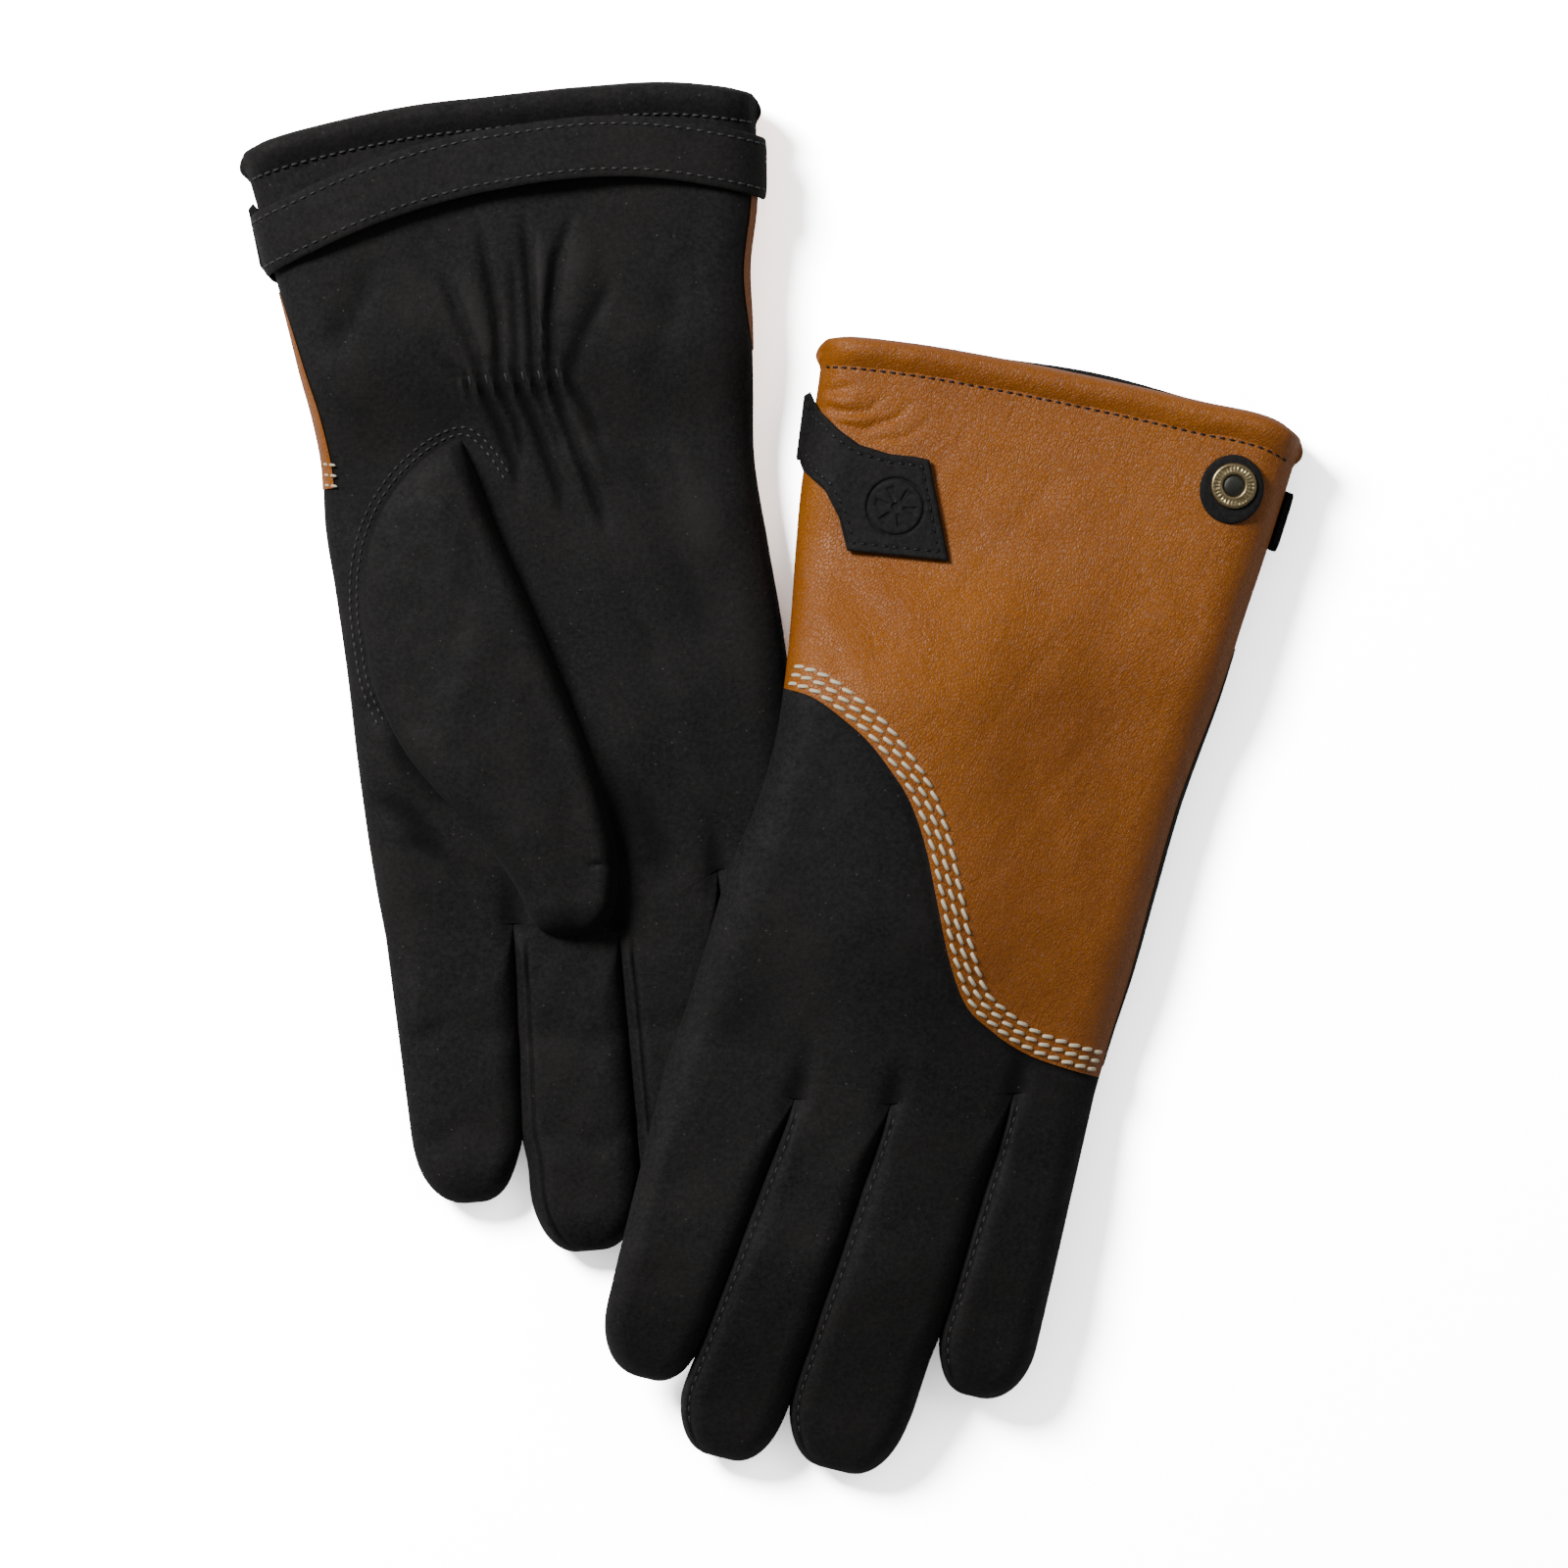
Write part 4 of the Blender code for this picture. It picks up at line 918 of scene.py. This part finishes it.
    def knuckle_span(self, index):
        """Two points out from the middle of a finger's knuckle line, 0.5 and 13 mm out, at the
        finger's mid-height.
        """
        webs = self.spec["webs"]
        a, b = np.array(webs[index], float), np.array(webs[index + 1], float)
        out = np.array([b[1] - a[1], a[0] - b[0]])
        out /= np.linalg.norm(out)
        middle = (a + b) / 2
        z = float(self.lift(middle[0], middle[1])) + FINGER_THICK / 2
        points = [self.world(*(middle + out * far), z)[0] for far in (0.5, 13.0)]
        return tuple(points[0]), tuple(points[1])

    def finger_stitches(self, index):
        """The black seam stitches along a finger's thumb side."""
        rows = np.linspace(0.03, 0.93, 60)
        place = self.finger_frame(index, rows, np.array([0.0, 1.0]))
        inset = 2.1
        u, v = place[0][:, 0] + inset, place[1][:, 0]
        fine = (u[:, None], v[:, None], np.full((60, 1), inset), np.full((60, 1), 9.0),
                place[4][:, :1], place[5][:, :1])
        z = self.finger_surface(index, fine, True)[:, 0]
        return self.stitches(FINGERS[index] + "_stitches", np.stack([u, v, z], 1), 2.7, 1.7,
                             0.22, PAINTED_SHEEN_BLACK_THREAD, None)

    # ---- stitching

    def stitches(self, piece, path, pitch, length, radius, look, body, normal=(0, 0, 1),
                 slant=0.0):
        """A row of stitches along a path of (u, v, z), each turned a little off the row."""
        path = np.asarray(path, float)
        points = self.world(path[:, 0], path[:, 1], path[:, 2]) / MM
        spots, ways = arc_steps(points, pitch)
        normal = np.array(normal, float)
        ways = ways + math.tan(math.radians(slant)) * np.cross(normal, ways)
        ways /= np.linalg.norm(ways, axis=1)[:, None]
        shapes = [stitch_shape(s * MM, w, normal, length * MM, radius * MM)
                  for s, w in zip(spots, ways)]
        return joined(self.name + "_" + piece, shapes, look, body)

    def on_skin(self, u, v, upper, rise):
        """A path lying on a skin."""
        return np.stack([u, v, self.skin(u, v, upper, rise)], 1)

    def seam_stitches(self):
        """Three cream rows along the saddle seam, and the black rows under the two hems."""
        left, right = self.sides(np.array([88.0, 17.0]))
        sign = 1 if self.back_up else -1
        for k, row in enumerate(SADDLE_ROWS):
            u = np.linspace(left[0] + 0.8, right[1] - 0.8, 400)
            slope = (along(SADDLE, u + 0.3) - along(SADDLE, u - 0.3)) / 0.6
            size = np.sqrt(1 + slope ** 2)
            pu, pv = u - slope / size * row, along(SADDLE, u) + row / size
            lo, hi = self.sides(pv)
            keep = (pu > lo + 0.5) & (pu < hi - 0.5)
            path = self.on_skin(pu[keep], pv[keep], self.back_up, 0.60)
            self.stitches(f"saddle_stitches_{k + 1}", path, 3.55, 3.2, 0.47, CREAM_THREAD,
                          self.body, (0, 0, sign), 13.0 * sign)
        for piece, upper in (("back_hem_stitches", self.back_up),
                             ("palm_hem_stitches", self.palm_up)):
            sign = 1 if upper else -1
            edge = 165.0
            lo, hi = self.sides(edge)
            u = np.linspace(lo + 1.5, hi - 1.5, 200)
            path = self.on_skin(u, self.cuff(u, upper) - HEM_WIDTH - 0.15, upper, 0.42)
            # The palm hem's thread is the copy lightened with painted sheen.
            look = PAINTED_SHEEN_BLACK_THREAD if piece.startswith("palm") else DARK_THREAD
            self.stitches(piece, path, 2.3, 1.7, 0.27, look, self.body, (0, 0, sign))

    # ---- strap and fastening

    def gather_stitches(self):
        """Short stitches, lightened with painted sheen, that hold the gathers to the elastic."""
        shapes = []
        for peak in GATHERS[1:]:
            v = np.array([GATHER_ROW + 1.8, GATHER_ROW - 0.6])
            u = peak - 0.9 - 0.18 * (v - GATHER_ROW)
            path = self.on_skin(u, v, self.palm_up, 0.25)
            ends = self.world(path[:, 0], path[:, 1], path[:, 2])
            way = ends[1] - ends[0]
            far = np.linalg.norm(way)
            shapes.append(stitch_shape((ends[0] + ends[1]) / 2, way / far,
                                       np.array([0, 0, 1.0]), far, 0.24 * MM))
        joined(self.name + "_gather_stitches", shapes, PAINTED_SHEEN_BLACK_THREAD, self.body)

    def strap_line(self, u):
        """v of the strap's middle where it crosses the palm side."""
        drop = np.where(u < STRAP_CREST[0], STRAP_DROP_THUMB, STRAP_DROP_LITTLE)
        sag = 0 if self.palm_up else 2.3 * ramp(u, 30, 55)
        return STRAP_CREST[1] - drop * (u - STRAP_CREST[0]) ** 2 - sag

    def around(self, edge, v, off, upper, thumb_side):
        """A point that stands off the skin near a long side, and the way off the skin."""
        left, right = self.sides(v)
        inward = 1 if thumb_side else -1
        side = left if thumb_side else right
        sign = 1 if upper else -1
        half = float(self.half(side, v))
        middle = float(self.lift(side + inward * edge, v)) + half
        if edge < SIDE_WIDTH:
            turn = math.acos(1 - edge / SIDE_WIDTH)
            normal = np.array([-inward * math.cos(turn) * half,
                               sign * math.sin(turn) * SIDE_WIDTH])
            normal /= np.linalg.norm(normal)
        else:
            turn, normal = math.pi / 2, np.array([0.0, sign])
        u = side + inward * edge
        z = middle + sign * half * math.sin(turn)
        return np.array([u + off * normal[0], z + off * normal[1]]), normal

    def strap_sections(self):
        """The strap's course: (u, v, z), normal and slack along it."""
        rounding = [SIDE_WIDTH * (1 - math.cos(a)) for a in np.linspace(0.0, math.pi / 2, 9)]
        course = [(edge, self.palm_up, False) for edge in rounding]
        course += [(edge, self.palm_up, False) for edge in np.linspace(13, 56, 16)]
        course += [(edge, self.palm_up, True) for edge in np.linspace(52, 13, 15)]
        course += [(edge, self.palm_up, True) for edge in rounding[::-1]]
        course += [(edge, self.back_up, True) for edge in rounding[1:(3 if self.palm_up else 2)]]
        return course

    def strap(self):
        """The doubled band, slack across the palm side, with a row of stitches at each edge."""
        left, right = self.sides(150.0)
        rings, outer_lines = [], ([], [])
        profile = []
        for k in range(20):
            angle = 2 * math.pi * (k + 0.5) / 20
            wide = abs(math.cos(angle)) ** 0.35 * math.copysign(1, math.cos(angle))
            tall = abs(math.sin(angle)) ** 0.55 * math.copysign(1, math.sin(angle))
            profile.append((wide, tall))
        for edge, upper, thumb_side in self.strap_sections():
            u0 = (left + edge) if thumb_side else (right - edge)
            v0 = float(self.strap_line(u0))
            under_tab = thumb_side and not self.palm_up
            band = BAND_WIDTH * (1 - 0.15 * float(ramp(edge, 12, 2)) * under_tab)
            slack = 0.0
            if upper == self.palm_up and self.palm_up:
                slack = 1.5 * float(ramp(edge, 4, 26)) * (1 + 0.25 * math.sin(u0 * 0.11))
            ring = []
            for wide, tall in profile:
                v = v0 + wide * band / 2
                tilt = 0.8 * slack * (-wide)
                off = 0.75 + slack + tilt * 0.5 + (0.8 + tall * 0.75)
                place, _ = self.around(edge, v, off, upper, thumb_side)
                ring.append((place[0], v, place[1]))
            rings.append(ring)
            for row, line in zip((-1, 1), outer_lines):
                v = v0 + row * (BAND_WIDTH / 2 - 1.9)
                off = 0.75 + slack - 0.4 * slack * row * 0.7 + 1.62
                place, normal = self.around(edge, v, off, upper, thumb_side)
                line.append((place[0], v, place[1], normal[0], normal[1]))
        points = np.array(rings).reshape(-1, 3)
        verts = self.world(points[:, 0], points[:, 1], points[:, 2])
        made = make_piece(self.name + "_strap_band", verts, tube_faces(len(rings), 20), NUBUCK,
                          self.body)
        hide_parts(self.name + "_cuff_strap")
        for tag, line in zip(("lower", "upper"), outer_lines):
            line = np.array(line)
            world = self.world(line[:, 0], line[:, 1], line[:, 2]) / MM
            normals = np.stack([line[:, 3] * self.cos, -line[:, 3] * self.sin, line[:, 4]], 1)
            both = np.concatenate([world, normals], 1)
            spots, _ = arc_steps(both, 2.5)
            spots = spots if self.palm_up else spots[:-3]
            shapes = []
            for k in range(1, len(spots) - 1):
                way = spots[k + 1, :3] - spots[k - 1, :3]
                way /= np.linalg.norm(way)
                normal = spots[k, 3:] / np.linalg.norm(spots[k, 3:])
                shapes.append(stitch_shape(spots[k, :3] * MM, way, normal, 1.7 * MM, 0.23 * MM))
            joined(f"{self.name}_strap_stitches_{tag}", shapes, PAINTED_SHEEN_BLACK_THREAD, self.body)

    def tab_places(self, along_count, across_count):
        """Places (u, v) over the tab, from its tacked end to its free end."""
        s = np.linspace(0, 1, along_count)
        upper_rim, lower_rim = (
            np.stack([np.interp(s, rim[:, 0], rim[:, k]) for k in (1, 2)], 1)
            for rim in (np.array(TAB_UPPER_RIM), np.array(TAB_LOWER_RIM)))
        t = np.linspace(0, 1, across_count)[:, None, None]
        places = lower_rim[None] + t * (upper_rim - lower_rim)[None]
        return places[..., 0], places[..., 1]

    def tab_height(self, u, v):
        """z of the tab's hidden face, which lies closer to the skin at its tacked end."""
        base = self.plain_skin(u, v, self.back_up)
        sign = 1 if self.back_up else -1
        return base + sign * (0.85 + 0.25 * ramp(u, -55, -45))

    def plain_skin(self, u, v, upper):
        """z of a skin without its creases."""
        left, right = self.sides(v)
        edge = np.minimum(u - left, right - u)
        sign = 1 if upper else -1
        return (self.lift(u, v) + self.half(u, v) * (1 + sign * dome(edge, SIDE_WIDTH))
                + sign * self.crown(u, v, upper))

    def tab(self):
        """The flared tab with stitched edges and a plain round emboss."""
        u, v = self.tab_places(190, 120)
        sign = 1 if self.back_up else -1
        steps_u = np.gradient(u, axis=1)
        steps_v = np.gradient(v, axis=0)
        s_mm = np.cumsum(np.hypot(steps_u, np.gradient(v, axis=1)), axis=1)
        t_mm = np.cumsum(np.hypot(steps_v, np.gradient(u, axis=0)), axis=0)
        border = np.minimum(t_mm - t_mm[:1], t_mm[-1:] - t_mm)
        border = np.minimum(border, s_mm[:, -1:] - s_mm)
        rim = dome(border, 0.9)
        from_centre = u - EMBOSS_CENTRE[0], v - EMBOSS_CENTRE[1]
        far = np.hypot(*from_centre)
        angle = np.arctan2(from_centre[1], from_centre[0])
        ring = bell(far, 6.6, 0.34)
        petals = ramp(np.cos(6 * angle), 0.1, 0.55) * ramp(far, 1.4, 2.2) * ramp(far, 5.2, 4.4)
        centre = ramp(far, 1.1, 0.8)
        emboss = -0.55 * ring - 0.38 * petals - 0.40 * centre
        groove = -0.14 * bell(border, 2.0, 0.45)
        base = self.tab_height(u, v)
        outer = base + sign * (0.75 + 0.85 * rim + (emboss + groove) * rim)
        inner = base + sign * (0.75 - 0.75 * rim)
        verts = np.concatenate([self.world(u, v, outer), self.world(u, v, inner)])
        body = None if self.back_up else self.body
        pieces = [make_piece(self.name + "_tab", verts, slab_faces(*u.shape), NUBUCK, body)]
        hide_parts(self.name + "_strap_tab")
        pieces.append(self.tab_stitches(body, sign))
        if self.back_up:
            start = self.world(-51.5, 142, self.lift(-51.5, 142) + HAND_THICK)[0]
            end = self.world(-47.5, 142, self.lift(-47.5, 142) + HAND_THICK)[0]
            for piece in pieces:
                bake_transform(piece)

    def tab_stitches(self, body, sign):
        """The stitches that run round the tab, 2 mm inside its edge."""
        u, v = self.tab_places(110, 66)
        rim = np.concatenate([np.stack([u[0], v[0]], 1), np.stack([u[:, -1], v[:, -1]], 1)[1:],
                              np.stack([u[-1], v[-1]], 1)[::-1][1:]])
        spots, ways = arc_steps(rim, 0.5)
        inside = spots + 2.0 * np.stack([-ways[:, 1], ways[:, 0]], 1)
        clear = np.array([np.min(np.hypot(*(rim - p).T)) > 1.9 for p in inside])
        inside = inside[clear]
        z = self.tab_height(inside[:, 0], inside[:, 1]) + sign * 1.50
        path = np.stack([inside[:, 0], inside[:, 1], z], 1)
        return self.stitches("tab_stitches", path, 2.5, 1.8, 0.27, DARK_THREAD, body,
                             (0, 0, sign))

    def turned(self, piece, centre, base, profile, look, replaced, teeth=0, tall=1.0):
        """A turned piece on the back skin; teeth mill its sloping ring."""
        sign = 1 if self.back_up else -1
        sides = 96
        rings = []
        for radius, height, milled in profile:
            angle = np.linspace(0, 2 * math.pi, sides, endpoint=False)
            wave = 0.10 * milled * np.sign(np.sin(teeth * angle)) if teeth else 0 * angle
            rings.append(np.stack([centre[0] + radius * np.cos(angle),
                                   centre[1] + tall * radius * np.sin(angle),
                                   base + sign * (height + wave)], 1))
        points = np.concatenate(rings)
        verts = self.world(points[:, 0], points[:, 1], points[:, 2])
        closed = profile[0][0] > 1
        faces = tube_faces(len(rings), sides, caps=not closed)
        if closed:
            last = (len(rings) - 1) * sides
            faces += [[last + k, last + (k + 1) % sides, (k + 1) % sides, k]
                      for k in range(sides)]
        made = make_piece(self.name + "_" + piece, verts, faces, look, self.body)
        if replaced:
            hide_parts(self.name + "_" + replaced)

    def stud(self):
        """The brass snap stud with a plain milled ring, on its leather washer."""
        sign = 1 if self.back_up else -1
        around = [self.plain_skin(STUD_CENTRE[0] + 7 * math.cos(a), STUD_CENTRE[1]
                                  + 7 * math.sin(a), self.back_up) for a in np.arange(0, 6.3, 0.4)]
        base = max(around) if self.back_up else min(around)
        base = base + sign * 0.15
        below = (STUD_CENTRE[0] - 0.2, STUD_CENTRE[1] - 0.9)
        self.turned("washer", below, base, WASHER_PROFILE, NUBUCK, "stud_washer", tall=1.09)
        self.turned("stud", STUD_CENTRE, base, STUD_PROFILE, BRASS, "snap_stud", 30)
        self.turned("stud_core", STUD_CENTRE, base, CORE_PROFILE, DARK_METAL, None)

    # ---- thumb

    def thumb_places(self, rows, columns):
        """Places (u, v) over the folded thumb, with distances to its outline and its end."""
        top, low = 97.0, THUMB_END
        v_line = top + (low - top) * rows[:, None] + 0 * columns[None, :]
        cap = 12.0
        left = along(THUMB_LEFT, np.maximum(v_line, -11))
        right = along(THUMB_RIGHT, np.maximum(v_line, -11))
        beyond = np.clip((low + cap - v_line) / cap, 0, 1)
        narrow = (1 - np.maximum(1 - beyond ** 2.4, 1e-5) ** (1 / 2.4)) * (right - left) / 2
        left, right = left + narrow, right - narrow
        u = left + columns[None, :] * (right - left)
        return u, v_line, u - left, right - u

    def thumb(self):
        """The padded thumb folded over the palm, seamed round its base with a double row."""
        turn = np.linspace(0, math.pi / 2, 10)
        curve = 0.22 * (1 - np.cos(turn))
        columns = np.concatenate([curve[:-1], np.linspace(curve[-1], 1 - curve[-1], 24),
                                  1 - curve[-2::-1]])
        rows = np.concatenate([np.linspace(0, 0.9, 120), 0.9 + 0.1 * np.sin(
            np.linspace(0, math.pi / 2, 22))[1:]])
        u, v, near, far = self.thumb_places(rows, columns)
        end = np.minimum(v - THUMB_END, (97.0 - v) * 0.9)
        wedge = 0.16 * dome(near, 1.3) + 0.84 * ramp(near / (near + far + 0.01), -0.5, 0.7)
        base = ramp(v, 8, 42)
        left_rise = (wedge - 0.84 * ramp(0, -0.5, 0.7) * (1 - dome(near, 1.3))) * base
        shape = (left_rise + dome(near, 8.0) * (1 - base)) * dome(far, 4.4) * dome(end, 8.0)
        palm = self.plain_skin(u, v, True)
        swell = 0.3 * rolls(u, v, 61, 26) + 0.14 * rolls(u, v, 62, 11)
        folds = 0 * u
        for start, stop, width, depth in THUMB_FOLDS:
            folds = folds + depth * crease(u, v, start, stop, width, 1.0)
        height = -0.35 + 9.6 * shape + (swell + folds) * ramp(np.minimum(near, far), 0, 5)
        top = palm + np.maximum(height, -0.55)
        low = palm - 0.7
        verts = np.concatenate([self.world(u, v, top), self.world(u, v, low)])
        # Painted shade along the thumb's outline seam: this groove goes only to the material, which
        # darkens it.
        groove = -1.2 * bell(near, 0.3, 0.8) * ramp(v, -8, 10)
        made = make_piece("right_thumb_leather", verts, slab_faces(*u.shape), NUBUCK, None,
                          relief=[groove, 0 * groove])
        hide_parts("right_thumb", "right_thumb_gusset")
        (u0, v0), (u1, v1) = THUMB_FOLD
        size = math.hypot(u1 - u0, v1 - v0)
        out = np.array([v0 - v1, u1 - u0]) / size
        out = out if out[0] > 0 else -out
        middle = np.array([(u0 + u1) / 2, (v0 + v1) / 2])
        z = HAND_THICK + 8
        points = [self.world(*(middle + out * far_off), z)[0] for far_off in (-4.0, 7.0)]
        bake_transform(made)
        self.thumb_seam()

    def thumb_seam(self):
        """Two rows of black stitches round the base of the thumb."""
        v = np.linspace(33, 96.6, 120)
        arc = np.concatenate([np.stack([along(THUMB_LEFT, v), v], 1),
                              [(-13.7, 97.4), (-11.3, 95.2), (-8.6, 91.6), (-6.2, 86.8)]])
        far = np.concatenate([[0], np.cumsum(np.linalg.norm(np.diff(arc, axis=0), axis=1))])
        marks = np.linspace(0, far[-1], 160)
        path = np.stack([np.interp(marks, far, arc[:, k]) for k in (0, 1)], 1)
        for _ in range(6):
            path[1:-1] = (path[:-2] + 2 * path[1:-1] + path[2:]) / 4
        way = np.gradient(path, axis=0)
        way /= np.linalg.norm(way, axis=1)[:, None]
        for tag, off in (("inner", 1.0), ("outer", 2.6)):
            row = path + off * np.stack([-way[:, 1], way[:, 0]], 1)
            lo, _ = self.sides(row[:, 1])
            row[:, 0] = np.maximum(row[:, 0], lo + 0.8)
            self.stitches("thumb_seam_" + tag, self.on_skin(row[:, 0], row[:, 1], True, 0.05),
                          2.1, 1.45, 0.25, PAINTED_SHEEN_BLACK_THREAD, self.body)

    def tucked_thumb(self):
        """The other thumb, pressed flat between the palm and the table."""
        rows, columns = np.linspace(0, 1, 70)[:, None], np.linspace(-1, 1, 40)[None, :]
        start, stop = np.array([-21.0, 86.0]), np.array([-7.0, 14.0])
        along_mm = rows * np.linalg.norm(stop - start) + 0 * columns
        length = along_mm.max()
        end = np.minimum(along_mm, length - along_mm)
        half = 9.5 * (0.25 + 0.75 * dome(end, 9.5))
        u = start[0] + rows * (stop[0] - start[0]) + columns * half
        v = start[1] + rows * (stop[1] - start[1]) + 0 * columns
        shape = dome((1 - np.abs(columns)) * half, 6.0) * dome(end, 7.0)
        room = np.minimum(self.plain_skin(u, v, False) - 0.7, 10.5)
        top = room * (0.5 + 0.49 * shape) + 0.1
        low = room * (0.5 - 0.49 * shape)
        verts = np.concatenate([self.world(u, v, top), self.world(u, v, low)])
        made = make_piece("left_thumb_leather", verts, slab_faces(*u.shape), NUBUCK, self.body)
        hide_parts("left_thumb")


def carried_over(glove):
    """The hidden CAD pieces that keep their shape get their real finish."""
    for part, look in (("wrist_elastic", WEBBING), ("snap_socket", BRASS)):
        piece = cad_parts[glove.name + "_" + part]
        for slot in piece.material_slots:
            slot.material = look


def studio():
    """A pale floor, soft light from the upper left, and a camera straight above."""
    floor_mesh = bpy.data.meshes.new("floor")
    size = 3.0
    floor_mesh.from_pydata([(-size, -size, 0), (size, -size, 0), (size, size, 0),
                            (-size, size, 0)], [], [(0, 1, 2, 3)])
    floor = bpy.data.objects.new("floor", floor_mesh)
    bpy.context.scene.collection.objects.link(floor)
    paper = bpy.data.materials.new("paper")
    paper.use_nodes = True
    tree = paper.node_tree
    tree.nodes.remove(tree.nodes["Principled BSDF"])
    seen, bounce = (tree.nodes.new("ShaderNodeBsdfDiffuse") for _ in range(2))
    seen.inputs["Color"].default_value = (FLOOR_SEEN, FLOOR_SEEN, FLOOR_SEEN, 1)
    bounce.inputs["Color"].default_value = (0.8, 0.8, 0.8, 1)
    ray = tree.nodes.new("ShaderNodeLightPath")
    both = tree.nodes.new("ShaderNodeMixShader")
    tree.links.new(ray.outputs["Is Camera Ray"], both.inputs[0])
    tree.links.new(bounce.outputs[0], both.inputs[1])
    tree.links.new(seen.outputs[0], both.inputs[2])
    side = tree.nodes.new("ShaderNodeNewGeometry")
    clear = tree.nodes.new("ShaderNodeBsdfTransparent")
    whole = tree.nodes.new("ShaderNodeMixShader")
    tree.links.new(side.outputs["Backfacing"], whole.inputs[0])
    tree.links.new(both.outputs[0], whole.inputs[1])
    tree.links.new(clear.outputs[0], whole.inputs[2])
    tree.links.new(whole.outputs[0], tree.nodes["Material Output"].inputs["Surface"])
    floor_mesh.materials.append(paper)
    floor.location.z = -0.0002
    world = bpy.data.worlds.new("studio")
    world.use_nodes = True
    world.node_tree.nodes["Background"].inputs[0].default_value = (1, 1, 1, 1)
    world.node_tree.nodes["Background"].inputs[1].default_value = WORLD_STRENGTH
    bpy.context.scene.world = world
    for name, spot, power, size in LIGHTS:
        data = bpy.data.lights.new(name, "AREA")
        data.energy = power
        data.shape = "DISK"
        data.size = size
        lamp = bpy.data.objects.new(name, data)
        lamp.location = spot
        lamp.rotation_euler = (-Vector(spot)).to_track_quat("-Z", "Y").to_euler()
        bpy.context.scene.collection.objects.link(lamp)
    data = bpy.data.cameras.new("camera")
    camera = bpy.data.objects.new("camera", data)
    bpy.context.scene.collection.objects.link(camera)
    camera.location = (CAMERA_CENTRE[0], CAMERA_CENTRE[1], CAMERA_HEIGHT)
    data.sensor_width = 36.0
    data.lens = data.sensor_width * CAMERA_HEIGHT / VIEW_WIDTH
    data.clip_start = 0.05
    bpy.context.scene.camera = camera


CAMERA_CENTRE = (0.0029, -0.0010)
CAMERA_HEIGHT = 2.2
VIEW_WIDTH = 0.368
WORLD_STRENGTH = 0.13
FLOOR_SEEN = 22.0  # the sheet is overexposed, as in a catalogue picture
LIGHTS = [("key", (-1.0, 0.9, 1.22), 31.0, 0.6), ("fill", (0.9, 0.6, 1.6), 1.6, 1.2)]

for glove in (Glove(RIGHT), Glove(LEFT)):
    glove.panels()
    glove.linings()
    glove.hems()
    for index in range(len(FINGERS)):
        glove.finger(index)
    glove.seam_stitches()
    glove.gather_stitches()
    glove.strap()
    glove.tab()
    glove.stud()
    if glove.palm_up:
        glove.thumb()
    else:
        glove.tucked_thumb()
    carried_over(glove)
studio()
